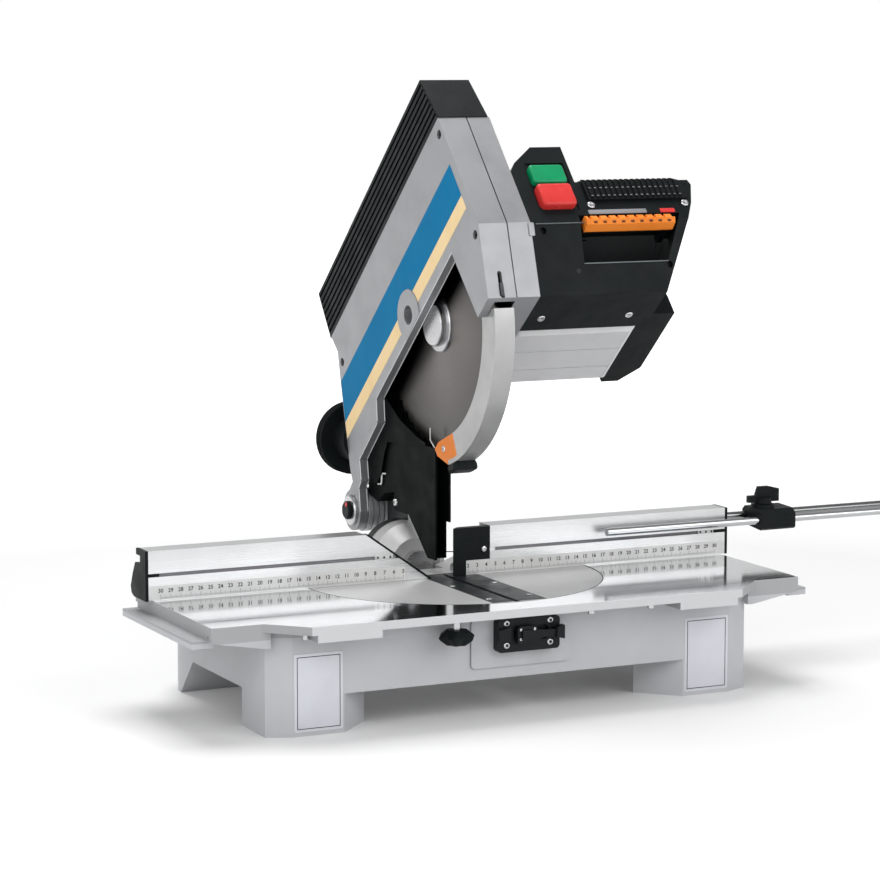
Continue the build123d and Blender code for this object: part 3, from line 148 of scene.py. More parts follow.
def feed(tree: Tree, target: Socket, value: object) -> None:
    """Links a socket to an input, or sets the input to a constant.

    Args:
        tree: The node tree.
        target: The input.
        value: A socket, or the constant.
    """
    if isinstance(value, bpy.types.NodeSocket):
        tree.links.new(value, target)
    else:
        target.default_value = value


def ramp(tree: Tree, value: Socket, low: float, high: float) -> Node:
    """Adds a clamped Map Range from low and high to 0 and 1.

    Args:
        tree: The node tree.
        value: The value to map.
        low: Value that gives 0.
        high: Value that gives 1.

    Returns:
        The node.
    """
    node = tree.nodes.new("ShaderNodeMapRange")
    node.inputs["From Min"].default_value = low
    node.inputs["From Max"].default_value = high
    tree.links.new(value, node.inputs["Value"])
    return node


def blend(tree: Tree, factor: Socket, first: object, second: object) -> Socket:
    """Adds a mix of two colours.

    Args:
        tree: The node tree.
        factor: Share of the second colour.
        first: A socket, or a colour of four values.
        second: The same.

    Returns:
        The socket of the mixed colour.
    """
    mix = tree.nodes.new("ShaderNodeMix")
    mix.data_type = "RGBA"
    tree.links.new(factor, mix.inputs["Factor"])
    feed(tree, mix.inputs["A"], first)
    feed(tree, mix.inputs["B"], second)
    return mix.outputs["Result"]


def vector_step(tree: Tree, operation: str, first: Socket, second: object = None) -> Node:
    """Adds a step of vector arithmetic.

    Args:
        tree: The node tree.
        operation: Name of the operation.
        first: First input.
        second: A socket or a constant, where the operation takes two.

    Returns:
        The node.
    """
    node = tree.nodes.new("ShaderNodeVectorMath")
    node.operation = operation
    tree.links.new(first, node.inputs[0])
    if second is not None:
        feed(tree, node.inputs[1], second)
    return node


def object_place(tree: Tree) -> Socket:
    """Adds a Texture Coordinate node and gives its Object socket."""
    return tree.nodes.new("ShaderNodeTexCoord").outputs["Object"]


def number_step(tree: Tree, operation: str, *values: object) -> Socket:
    """Adds a step of plain arithmetic.

    Args:
        tree: The node tree.
        operation: Name of the operation.
        *values: A socket or a number for each input.

    Returns:
        The socket of the result.
    """
    node = tree.nodes.new("ShaderNodeMath")
    node.operation = operation
    for target, value in zip(node.inputs, values):
        feed(tree, target, value)
    return node.outputs["Value"]


# Shader node groups shared by the finishes


class ShaderKit:
    """Builds the shared shader node groups once and places them in materials."""

    NOISE_ROUGHNESS = 0.55
    PATCH_RANGE = (0.40, 0.72)
    GLOSS_SCALE = 45.0
    GLOSS_RANGE = (0.35, 0.65)
    LINE_RANGE = (0.3, 0.7)

    def __init__(self) -> None:
        """Builds every group."""
        self.tone = self._tone()
        self.grain = self._grain()
        self.brushed = self._brushed()
        self.rings = self._rings()

    @staticmethod
    def _group(name: str, inputs: Sequence[tuple], outputs: Sequence[tuple]) -> tuple[Tree, Node, Node]:
        """Makes an empty group with named sockets.

        Args:
            name: Name of the group.
            inputs: (name, kind, default) of each input.
            outputs: (name, kind) of each output.

        Returns:
            The new node tree, its input node and its output node.
        """
        tree = bpy.data.node_groups.new(name, "ShaderNodeTree")
        for label, kind, default in inputs:
            socket = tree.interface.new_socket(name=label, in_out="INPUT", socket_type=kind.value)
            socket.default_value = default
        for label, kind in outputs:
            tree.interface.new_socket(name=label, in_out="OUTPUT", socket_type=kind.value)
        return tree, tree.nodes.new("NodeGroupInput"), tree.nodes.new("NodeGroupOutput")

    def _noise(self, tree: Tree, vector: Socket, detail: float, scale: object) -> Socket:
        """Adds a noise texture.

        Args:
            tree: The node tree.
            vector: Socket of the place that it reads.
            detail: Its detail.
            scale: Its scale, as a socket or a number.

        Returns:
            The socket of its value.
        """
        noise = tree.nodes.new("ShaderNodeTexNoise")
        noise.inputs["Detail"].default_value = detail
        noise.inputs["Roughness"].default_value = self.NOISE_ROUGHNESS
        tree.links.new(vector, noise.inputs["Vector"])
        feed(tree, noise.inputs["Scale"], scale)
        return noise.outputs["Fac"]

    @staticmethod
    def _gloss(tree: Tree, value: Socket, span: Point2, inside: Node, outside: Node) -> None:
        """Spreads a group's roughness from Smooth to Rough along a value.

        Args:
            tree: The group.
            value: Socket of the value.
            span: Values that give Smooth and Rough.
            inside: The group's input node.
            outside: The group's output node.
        """
        spread = ramp(tree, value, *span)
        tree.links.new(inside.outputs["Smooth"], spread.inputs["To Min"])
        tree.links.new(inside.outputs["Rough"], spread.inputs["To Max"])
        tree.links.new(spread.outputs["Result"], outside.inputs["Roughness"])

    def _tone(self) -> Tree:
        """Soft patches of a second colour, for handling marks and uneven paint.

        Returns:
            The group.
        """
        tree, inside, outside = self._group(
            "soft_patches",
            [
                ("Colour", Kind.COLOUR, (0.5, 0.5, 0.5, 1)),
                ("Patch", Kind.COLOUR, (0.4, 0.4, 0.4, 1)),
                ("Scale", Kind.FLOAT, 30.0),
            ],
            [("Colour", Kind.COLOUR)],
        )
        noise = self._noise(tree, object_place(tree), 4.0, inside.outputs["Scale"])
        mask = ramp(tree, noise, *self.PATCH_RANGE).outputs["Result"]
        colour = blend(tree, mask, inside.outputs["Colour"], inside.outputs["Patch"])
        tree.links.new(colour, outside.inputs["Colour"])
        return tree

    def _grain(self) -> Tree:
        """Fine moulded or cast grain, with a matching spread of gloss.

        Returns:
            The group.
        """
        tree, inside, outside = self._group(
            "fine_grain",
            [("Scale", Kind.FLOAT, 900.0), ("Smooth", Kind.FLOAT, 0.35), ("Rough", Kind.FLOAT, 0.5)],
            [("Height", Kind.FLOAT), ("Roughness", Kind.FLOAT)],
        )
        place = object_place(tree)
        fine = self._noise(tree, place, 2.0, inside.outputs["Scale"])
        tree.links.new(fine, outside.inputs["Height"])
        wide = self._noise(tree, place, 3.0, self.GLOSS_SCALE)
        self._gloss(tree, wide, self.GLOSS_RANGE, inside, outside)
        return tree

    def _brushed(self) -> Tree:
        """Fine lines along one direction, as on drawn or ground metal.

        Returns:
            The group.
        """
        tree, inside, outside = self._group(
            "drawn_lines",
            [
                ("Stretch", Kind.VECTOR, (8.0, 900.0, 900.0)),
                ("Smooth", Kind.FLOAT, 0.25),
                ("Rough", Kind.FLOAT, 0.4),
            ],
            [("Height", Kind.FLOAT), ("Roughness", Kind.FLOAT)],
        )
        scaled = vector_step(tree, "MULTIPLY", object_place(tree), inside.outputs["Stretch"])
        lines = self._noise(tree, scaled.outputs["Vector"], 3.0, 1.0)
        tree.links.new(lines, outside.inputs["Height"])
        self._gloss(tree, lines, self.LINE_RANGE, inside, outside)
        return tree

    def _rings(self) -> Tree:
        """Turned rings round an axis along X through a centre, in metres.

        Returns:
            The group.
        """
        tree, inside, outside = self._group(
            "turned_rings",
            [
                ("Centre", Kind.VECTOR, (0.0, 0.0, 0.0)),
                ("Scale", Kind.FLOAT, 900.0),
                ("Smooth", Kind.FLOAT, 0.2),
                ("Rough", Kind.FLOAT, 0.35),
            ],
            [("Height", Kind.FLOAT), ("Roughness", Kind.FLOAT), ("Radius", Kind.FLOAT)],
        )
        away = vector_step(tree, "SUBTRACT", object_place(tree), inside.outputs["Centre"])
        flat = vector_step(tree, "MULTIPLY", away.outputs["Vector"], (0.0, 1.0, 1.0))
        radius = vector_step(tree, "LENGTH", flat.outputs["Vector"]).outputs["Value"]
        rings = tree.nodes.new("ShaderNodeTexNoise")
        rings.noise_dimensions = "1D"
        rings.inputs["Detail"].default_value = 3.0
        tree.links.new(radius, rings.inputs["W"])
        tree.links.new(inside.outputs["Scale"], rings.inputs["Scale"])
        tree.links.new(rings.outputs["Fac"], outside.inputs["Height"])
        tree.links.new(radius, outside.inputs["Radius"])
        self._gloss(tree, rings.outputs["Fac"], self.LINE_RANGE, inside, outside)
        return tree

    @staticmethod
    def place(tree: Tree, group: Tree, **values: object) -> Node:
        """Places a group in a material.

        Args:
            tree: The material's node tree.
            group: The shared group.
            **values: Input values by socket name.

        Returns:
            The group node.
        """
        node = tree.nodes.new("ShaderNodeGroup")
        node.node_tree = group
        for name, value in values.items():
            node.inputs[name].default_value = value
        return node


# Finishes


@dataclass(frozen=True)
class Finish:
    """A finish with its own colour, gloss and surface."""

    name: str
    colour: Colour
    metallic: float = 0.0
    specular: float = 0.5
    patch: Optional[Colour] = None
    patch_share: float = 0.88
    patch_scale: float = 24.0

    def start(self) -> tuple[bpy.types.Material, Tree, Node]:
        """Makes the material and its Principled shader.

        Returns:
            The material, its node tree and the shader node.
        """
        material = bpy.data.materials.new(self.name)
        material.use_nodes = True
        material.diffuse_color = (*self.colour, 1.0)
        tree = material.node_tree
        shader = tree.nodes["Principled BSDF"]
        shader.inputs["Base Color"].default_value = (*self.colour, 1.0)
        shader.inputs["Metallic"].default_value = self.metallic
        shader.inputs["Specular IOR Level"].default_value = self.specular
        return material, tree, shader

    def patches(self, kit: ShaderKit, tree: Tree) -> Socket:
        """Adds the colour with its soft patches.

        Args:
            kit: The shared groups.
            tree: The material's node tree.

        Returns:
            The socket of the colour.
        """
        patch = self.patch or tuple(self.patch_share * c for c in self.colour)
        colours = dict(Colour=(*self.colour, 1), Patch=(*patch, 1))
        return kit.place(tree, kit.tone, **colours, Scale=self.patch_scale).outputs["Colour"]

    @staticmethod
    def bump(tree: Tree, height: Socket, shader: Node, depth: float, strength: float = 0.4) -> None:
        """Feeds a height into the shader's normal.

        Args:
            tree: The material's node tree.
            height: Socket that gives the height.
            shader: The Principled shader.
            depth: Full depth of the relief in metres.
            strength: Share of the relief that shows.
        """
        node = tree.nodes.new("ShaderNodeBump")
        node.inputs["Distance"].default_value = depth
        node.inputs["Strength"].default_value = strength
        tree.links.new(height, node.inputs["Height"])
        tree.links.new(node.outputs["Normal"], shader.inputs["Normal"])

    def build(self, kit: ShaderKit) -> bpy.types.Material:
        """Makes the material; each kind of finish has its own way."""
        raise NotImplementedError


@dataclass(frozen=True)
class Moulded(Finish):
    """Moulded plastic, rubber, or paint on a casting: fine grain and soft patches."""

    smooth: float = 0.35
    rough: float = 0.5
    grain: float = 900.0
    depth: float = 0.00006

    def build(self, kit: ShaderKit) -> bpy.types.Material:
        """Makes the grained material.

        Args:
            kit: The shared groups.

        Returns:
            The material.
        """
        material, tree, shader = self.start()
        grain = kit.place(tree, kit.grain, Scale=self.grain, Smooth=self.smooth, Rough=self.rough)
        tree.links.new(self.patches(kit, tree), shader.inputs["Base Color"])
        tree.links.new(grain.outputs["Roughness"], shader.inputs["Roughness"])
        self.bump(tree, grain.outputs["Height"], shader, self.depth)
        return material


@dataclass(frozen=True)
class Drawn(Finish):
    """Drawn, ground or brushed metal with lines along one direction."""

    patch_share: float = 0.9
    patch_scale: float = 14.0
    stretch: Size3 = (8.0, 900.0, 900.0)
    smooth: float = 0.25
    rough: float = 0.4
    depth: float = 0.00002

    def build(self, kit: ShaderKit) -> bpy.types.Material:
        """Makes the lined metal.

        Args:
            kit: The shared groups.

        Returns:
            The material.
        """
        material, tree, shader = self.start()
        lines = kit.place(tree, kit.brushed, Stretch=self.stretch, Smooth=self.smooth, Rough=self.rough)
        tree.links.new(self.patches(kit, tree), shader.inputs["Base Color"])
        tree.links.new(lines.outputs["Roughness"], shader.inputs["Roughness"])
        self.bump(tree, lines.outputs["Height"], shader, self.depth)
        return material


@dataclass(frozen=True)
class Turned(Finish):
    """Turned or ground metal with rings round an axis along X."""

    centre: Size3 = (0.0, 0.0, 0.0)
    smooth: float = 0.2
    rough: float = 0.36
    ring_scale: float = 900.0
    relief: float = 0.00001
    fan: float = 0.0
    fan_turn: float = 0.25
    rim_colour: Optional[Colour] = None
    inner: float = 0.03
    outer: float = 0.125

    def build(self, kit: ShaderKit) -> bpy.types.Material:
        """Makes the ringed metal, lighter or darker towards the rim.

        Args:
            kit: The shared groups.

        Returns:
            The material.
        """
        material, tree, shader = self.start()
        gloss = dict(Smooth=self.smooth, Rough=self.rough)
        rings = kit.place(tree, kit.rings, Centre=self.centre, Scale=self.ring_scale, **gloss)
        share = ramp(tree, rings.outputs["Radius"], self.inner, self.outer).outputs["Result"]
        rim = self.rim_colour or self.colour
        tree.links.new(blend(tree, share, (*self.colour, 1), (*rim, 1)), shader.inputs["Base Color"])
        tree.links.new(rings.outputs["Roughness"], shader.inputs["Roughness"])
        self.bump(tree, rings.outputs["Height"], shader, self.relief)
        if self.fan:
            turn = tree.nodes.new("ShaderNodeTangent")
            turn.direction_type = "RADIAL"
            turn.axis = "X"
            shader.inputs["Anisotropic"].default_value = self.fan
            shader.inputs["Anisotropic Rotation"].default_value = self.fan_turn
            tree.links.new(turn.outputs["Tangent"], shader.inputs["Tangent"])
        return material


@dataclass(frozen=True)
class Parted(Moulded):
    """A moulding with a second, matt colour, parted by place or by the way a face looks."""

    second: Colour = (0.007, 0.009, 0.010)
    source: str = "Object"
    axis: Size3 = (1.0, 0.0, 0.0)
    centre: float = 0.0
    half: float = 0.1

    def build(self, kit: ShaderKit) -> bpy.types.Material:
        """Makes both colours in one material.

        Args:
            kit: The shared groups.

        Returns:
            The material.
        """
        material = super().build(kit)
        tree = material.node_tree
        shader = tree.nodes["Principled BSDF"]
        first = shader.inputs["Base Color"].links[0].from_socket
        place = tree.nodes.new("ShaderNodeTexCoord").outputs[self.source]
        along = vector_step(tree, "DOT_PRODUCT", place, self.axis).outputs["Value"]
        mask = number_step(tree, "COMPARE", along, self.centre, self.half)
        colour = blend(tree, mask, first, (*self.second, 1))
        tree.links.new(colour, shader.inputs["Base Color"])
        metal = ramp(tree, mask, 0.0, 1.0)
        metal.inputs["To Min"].default_value = self.metallic
        metal.inputs["To Max"].default_value = 0.0
        tree.links.new(metal.outputs["Result"], shader.inputs["Metallic"])
        return material


@dataclass(frozen=True)
class PaintedTable(Moulded):
    """Painted casting with a polished top, grey edges in painted shade and a brighter nose, partly painted
    light.
    """

    patch_share: float = 0.93
    patch_scale: float = 16.0
    smooth: float = 0.40
    rough: float = 0.52
    grain: float = 520.0
    depth: float = 0.00012
    strength: float = 0.35
    flat: float = 0.5
    top: float = TABLE_TOP * MM
    step: float = 0.0003
    metal: Colour = (0.62, 0.635, 0.645)
    lines: Size3 = (6.0, 500.0, 6.0)
    line_smooth: float = 0.06
    line_rough: float = 0.14
    # The edges above edge_low are a darker grey, which is painted shade; the nose in front of nose_front is
    # lighter, partly as machined metal and partly as painted light.
    edge: Colour = srgb("A8A9AB")
    edge_low: float = 0.0916
    nose: Colour = srgb("CFD0D2")
    nose_front: float = -0.1815

    def build(self, kit: ShaderKit) -> bpy.types.Material:
        """Makes the paint, the edges and the polished top in one material, parted by place.

        Args:
            kit: The shared groups.

        Returns:
            The material.
        """
        material, tree, shader = self.start()
        split = tree.nodes.new("ShaderNodeSeparateXYZ")
        tree.links.new(object_place(tree), split.inputs["Vector"])
        height, depth, step = split.outputs["Z"], split.outputs["Y"], self.step
        top = ramp(tree, height, self.top - step, self.top - step / 2).outputs["Result"]
        # Painted shade on the edges and painted light on the nose, parted by height and depth.
        edge = ramp(tree, height, self.edge_low, self.edge_low + step).outputs["Result"]
        front = ramp(tree, depth, self.nose_front + step, self.nose_front).outputs["Result"]
        edges = blend(tree, front, (*self.edge, 1), (*self.nose, 1))
        coats = blend(tree, edge, self.patches(kit, tree), edges)
        colour = blend(tree, top, coats, (*self.metal, 1))
        grain = kit.place(tree, kit.grain, Scale=self.grain, Smooth=self.smooth, Rough=self.rough)
        gloss = dict(Smooth=self.line_smooth, Rough=self.line_rough)
        lines = kit.place(tree, kit.brushed, Stretch=self.lines, **gloss)
        shine, relief = (tree.nodes.new("ShaderNodeMix") for _ in range(2))
        tree.links.new(grain.outputs["Roughness"], shine.inputs["A"])
        tree.links.new(lines.outputs["Roughness"], shine.inputs["B"])
        tree.links.new(grain.outputs["Height"], relief.inputs["A"])
        relief.inputs["B"].default_value = self.flat
        for mix in (shine, relief):
            tree.links.new(top, mix.inputs["Factor"])
        tree.links.new(colour, shader.inputs["Base Color"])
        tree.links.new(shine.outputs["Result"], shader.inputs["Roughness"])
        tree.links.new(top, shader.inputs["Metallic"])
        self.bump(tree, relief.outputs["Result"], shader, self.depth, self.strength)
        return material


class FinishSet:
    """All finishes of the machine, made once and found by name."""

    HUB_PLACE = tuple(HUB * MM)
    BASE = dict(colour=srgb("C2C3C6"), specular=0.25)
    SILVER = dict(
        colour=srgb("9B9C9F"), metallic=0.4, smooth=0.34, rough=0.42, grain=1400.0, depth=0.00003
    )
    # Faces of the shells that look in towards the seam take the near-black second colour: partly the dark
    # inside of the shells, partly painted shade in the arm's mouth.
    SEAM_SIDE = dict(source="Normal", centre=1.0, half=0.3)
    MOTOR = dict(metallic=0.35, smooth=0.32, rough=0.44, stretch=(10.0, 500.0, 500.0))
    ORANGE = dict(colour=srgb("F08A35"), patch=srgb("E9812C"), specular=0.12, smooth=0.34, rough=0.44)
    BUTTON = dict(specular=0.3, smooth=0.22, rough=0.3)
    FILM = dict(specular=0.03, smooth=0.34, rough=0.42, depth=0.00001)
    # Middle of the trigger's dark arms, along the arm from the world's origin, in metres
    TRIGGER_ARMS = 0.125 + ALONG.dot(HUB) * MM

    FINISHES: tuple[Finish, ...] = (
        PaintedTable("painted_table", **BASE),
        Moulded("base_paint", **BASE, smooth=0.40, rough=0.52, grain=520.0, depth=0.00012),
        Parted(
            "cast_grey", srgb("B4B6B8"), metallic=0.35, smooth=0.38, rough=0.52, grain=420.0, depth=0.0002,
            axis=(0.0, 1.0, 0.0), centre=0.1388, half=0.0250,
        ),
        Drawn("drawn_aluminium", (0.61, 0.615, 0.62), metallic=1.0, smooth=0.24, rough=0.36),
        Drawn(
            "machined_disc", srgb("CACACA"), metallic=0.5, smooth=0.42, rough=0.54,
            stretch=(900.0, 10.0, 900.0),
        ),
        Moulded("silver_paint", **SILVER),
        # Shells with painted shade on their inner faces.
        Parted("left_shell", **SILVER, **SEAM_SIDE, axis=(1.0, 0.0, 0.0)),
        Parted("right_shell", **SILVER, **SEAM_SIDE, axis=(-1.0, 0.0, 0.0)),
        Drawn("motor_box", srgb("DDDDDF"), **MOTOR),
        # Painted highlight: near white for the lit edges of the motor's underside and of the covers' rim.
        Drawn("motor_light", srgb("F0F0F1"), **MOTOR),
        Moulded(
            "black_plastic", srgb("0F1415"), patch=srgb("13191A"), specular=0.12, smooth=0.42, rough=0.56
        ),
        Moulded("chute_black", srgb("090D0D"), patch=srgb("0D1112"), specular=0.05, smooth=0.5, rough=0.62),
        Moulded("black_rubber", srgb("0D1112"), patch=srgb("141819"), specular=0.12, smooth=0.6, rough=0.75),
        Moulded("black_iron", srgb("101416"), patch=srgb("181D1E"), specular=0.2, smooth=0.34, rough=0.48),
        Moulded("insert_plastic", srgb("1E2426"), patch=srgb("272D2F"), specular=0.2, smooth=0.36),
        # Painted highlight: a light grey for the lit edges at the crease, the finger opening's lip and the
        # grip's ribs.
        Moulded("worn_edge", srgb("6E7678"), patch=srgb("4F5658"), specular=0.3),
        # Grey of the strip under the grip, and painted shade in the fence's groove and round the front
        # panel.
        Moulded("strip_grey", srgb("8F8F93"), patch=srgb("85858A"), specular=0.3),
        Drawn("bright_steel", (0.60, 0.60, 0.61), metallic=1.0, smooth=0.18, rough=0.32),
        Moulded("dark_steel", (0.05, 0.05, 0.055), metallic=0.8, smooth=0.3, rough=0.45),
        Drawn("chrome", (0.50, 0.51, 0.52), metallic=1.0, smooth=0.05, rough=0.12),
        Drawn("ground_rod", (0.24, 0.25, 0.25), metallic=1.0, smooth=0.10, rough=0.20),
        # The blade darkens from the hub to its rim; this darkening is painted shade.
        Turned(
            "blade_steel", (0.16, 0.15, 0.143), metallic=1.0, centre=HUB_PLACE, smooth=0.29, rough=0.32,
            ring_scale=240.0, relief=0.0000002, fan=0.95, rim_colour=(0.07, 0.066, 0.063),
        ),
        Turned("flange_steel", (0.48, 0.48, 0.49), metallic=1.0, centre=HUB_PLACE, relief=0.000004),
        Moulded(
            "satin_guard", srgb("B2B2B2"), metallic=0.5, smooth=0.34, rough=0.46,
            grain=800.0, depth=0.00004,
        ),
        Moulded("tape_white", srgb("D6D6D5"), metallic=0.25, specular=0.3, smooth=0.28, rough=0.36),
        # Black of the printed scales, borders and dots, and painted shade in the catch's slot, a hole of the
        # panel, the disc's gap and the bracket's sockets.
        Moulded("ink_black", srgb("121213"), specular=0.3, smooth=0.45, rough=0.55),
        # Painted shade in the trigger's notches.
        Moulded("brown_mark", srgb("6E3B14"), patch=srgb("5E3110"), specular=0.2, smooth=0.4),
        Moulded("orange_plastic", **ORANGE),
        Parted("trigger_orange", **ORANGE, axis=tuple(ALONG), centre=TRIGGER_ARMS, half=0.0262),
        Moulded("green_plastic", srgb("0A9660"), patch=srgb("098957"), **BUTTON),
        Moulded("red_plastic", srgb("D93B39"), patch=srgb("CD3431"), **BUTTON),
        Moulded("blue_film", srgb("007AAC"), patch=srgb("0075A6"), **FILM),
        Moulded("cream_film", srgb("FFE3B0"), patch=srgb("F9DAA4"), **FILM),
        Moulded("plate_white", srgb("D9DBE2"), patch=srgb("D3D5DC"), specular=0.3, depth=0.00001),
    )

    NODES: dict[str, tuple[str, ...]] = {
        "painted_table": ("base_casting",),
        "base_paint": ("turntable_cradle", "front_panel"),
        "cast_grey": ("tilt_bracket",),
        "drawn_aluminium": ("left_fence", "right_fence"),
        "machined_disc": ("turntable",),
        "left_shell": ("left_cover",),
        "right_shell": ("right_housing",),
        "motor_box": ("motor_housing",),
        "black_plastic": (
            "fence_end_caps", "fence_end_liner", "fence_end_block", "lock_knob", "stop_clamp_block",
            "stop_wing_knob", "bevel_lock_lever", "pivot_cap", "rear_cover", "dust_port", "motor_end_cap",
            "handle_housing", "cooling_fan", "guard_knob",
        ),
        "chute_black": ("chip_chute",),
        "black_rubber": ("grip_cover",),
        "black_iron": ("index_bracket", "index_lever"),
        "insert_plastic": ("table_insert",),
        "bright_steel": (
            "block_screw", "fence_bolts", "bracket_screws", "turntable_bolt", "bevel_pin",
            "chop_pivot_bolt", "pivot_nut", "handle_screws", "arbor_bearings", "motor_bearings",
            "arbor_shaft", "arbor_nut", "motor_shaft", "guard_screws",
        ),
        "dark_steel": (
            "return_spring", "cover_screws", "guard_catch", "stator", "driven_gear", "rotor_core"
        ),
        "chrome": ("stop_rod",),
        "ground_rod": ("stop_guide_rod",),
        "blade_steel": ("saw_blade",),
        "flange_steel": ("inner_flange", "outer_flange"),
        "satin_guard": ("lower_guard",),
        "tape_white": ("rule_tapes",),
        "orange_plastic": ("guard_bumpers",),
        "trigger_orange": ("trigger_bar",),
        "green_plastic": ("start_button",),
        "red_plastic": ("stop_button",),
    }

    def __init__(self) -> None:
        """Builds the shader groups and every material."""
        kit = ShaderKit()
        self.materials = {finish.name: finish.build(kit) for finish in self.FINISHES}

    def __getitem__(self, name: str) -> bpy.types.Material:
        """The material of that name."""
        return self.materials[name]

    def dress_nodes(self) -> None:
        """Gives every node of the frame its finish."""
        finish_of = {node: finish for finish, nodes in self.NODES.items() for node in nodes}
        for name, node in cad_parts.items():
            node.data.materials.clear()
            node.data.materials.append(self[finish_of[name]])
            LOG.info("%s is %s", name, finish_of[name])


# Mesh making


@dataclass(frozen=True)
class Face:
    """A flat face of the machine on which pieces are laid, in millimetres."""

    origin: Vector
    across: Vector
    up: Vector

    @property
    def out(self) -> Vector:
        """Direction away from the face."""
        return self.across.cross(self.up).normalized()

    def point(self, x: float, y: float, height: float = 0.0) -> Vector:
        """A point of the face raised by a height, in metres."""
        return (self.origin + self.across * x + self.up * y + self.out * height) * MM

    def matrix(self, x: float, y: float, height: float = 0.0) -> Matrix:
        """Places a shape drawn in millimetres at a point of the face, in metres."""
        turn = Matrix((self.across, self.up, self.out)).transposed().to_4x4()
        return Matrix.Translation(self.point(x, y, height)) @ turn @ Matrix.Scale(MM, 4)


def cross_face(y: float) -> Face:
    """A face square to Y that looks to the front, drawn in (X, Z)."""
    return Face(Vector((0, y, 0)), Vector((1, 0, 0)), Vector((0, 0, 1)))


def arm_face(x: float) -> Face:
    """A face of the arm square to X that looks to the left, drawn along and across the arm."""
    return Face(Vector((x, HUB.y, HUB.z)), ALONG, OVER)


def arm_front_face(along: float) -> Face:
    """A face across the arm that looks to the front, drawn in (X, across)."""
    side = arm_face(0)
    return Face(side.origin + side.across * along, Vector((1, 0, 0)), side.up)


def edge_face(low: Point2, high: Point2, way: int = 1) -> Face:
    """A face that rises across the arm between two places of its side.

    Args:
        low: Foot of the face, along and across the arm.
        high: Top of the face.
        way: 1 for a face drawn in (X, up), -1 for one drawn in (-X, up).

    Returns:
        The face, with its origin at the foot.
    """
    side = arm_face(0)
    rise = side.across * (high[0] - low[0]) + side.up * (high[1] - low[1])
    origin = side.origin + side.across * low[0] + side.up * low[1]
    return Face(origin, Vector((way, 0, 0)), rise.normalized())


def slope_face(across: float) -> Face:
    """The sloping front below the crease, drawn in (X, up the slope).

    Args:
        across: Place across the arm where the face has its origin.

    Returns:
        The face.
    """
    nose = edge_face(NOSE, CREASE)
    rise = math.dist(NOSE, CREASE) * (across - NOSE[1]) / (CREASE[1] - NOSE[1])
    return Face(nose.origin + nose.up * rise, nose.across, nose.up)


def under_face(across: float) -> Face:
    """A face along the arm that looks down to the front, drawn in (X, along)."""
    side = arm_face(0)
    return Face(side.origin + side.up * across, Vector((1, 0, 0)), side.across)


def level_face(z: float, up: bool) -> Face:
    """A level face that looks up, drawn in (X, Y), or down, drawn in (X, -Y)."""
    return Face(Vector((0, 0, z)), Vector((1, 0, 0)), Vector((0, 1 if up else -1, 0)))


def left_face(x: float) -> Face:
    """A face square to X that looks to the left, drawn in (-Y, Z)."""
    return Face(Vector((x, 0, 0)), Vector((0, -1, 0)), Vector((0, 0, 1)))


def bent_path(corners: Sequence[Vector], bend: float, steps: int = 4) -> list[Vector]:
    """A path through corners that are rounded off.

    Args:
        corners: Corners of the path.
        bend: Length that each bend takes from both sides of its corner.
        steps: Straight pieces in each bend.

    Returns:
        Points of the path.
    """
    path = [corners[0]]
    for before, corner, after in zip(corners, corners[1:], corners[2:]):
        start = corner + (before - corner).normalized() * bend
        end = corner + (after - corner).normalized() * bend
        for i in range(steps + 1):
            share = i / steps
            path.append((1 - share) ** 2 * start + 2 * share * (1 - share) * corner + share ** 2 * end)
    return path + [corners[-1]]


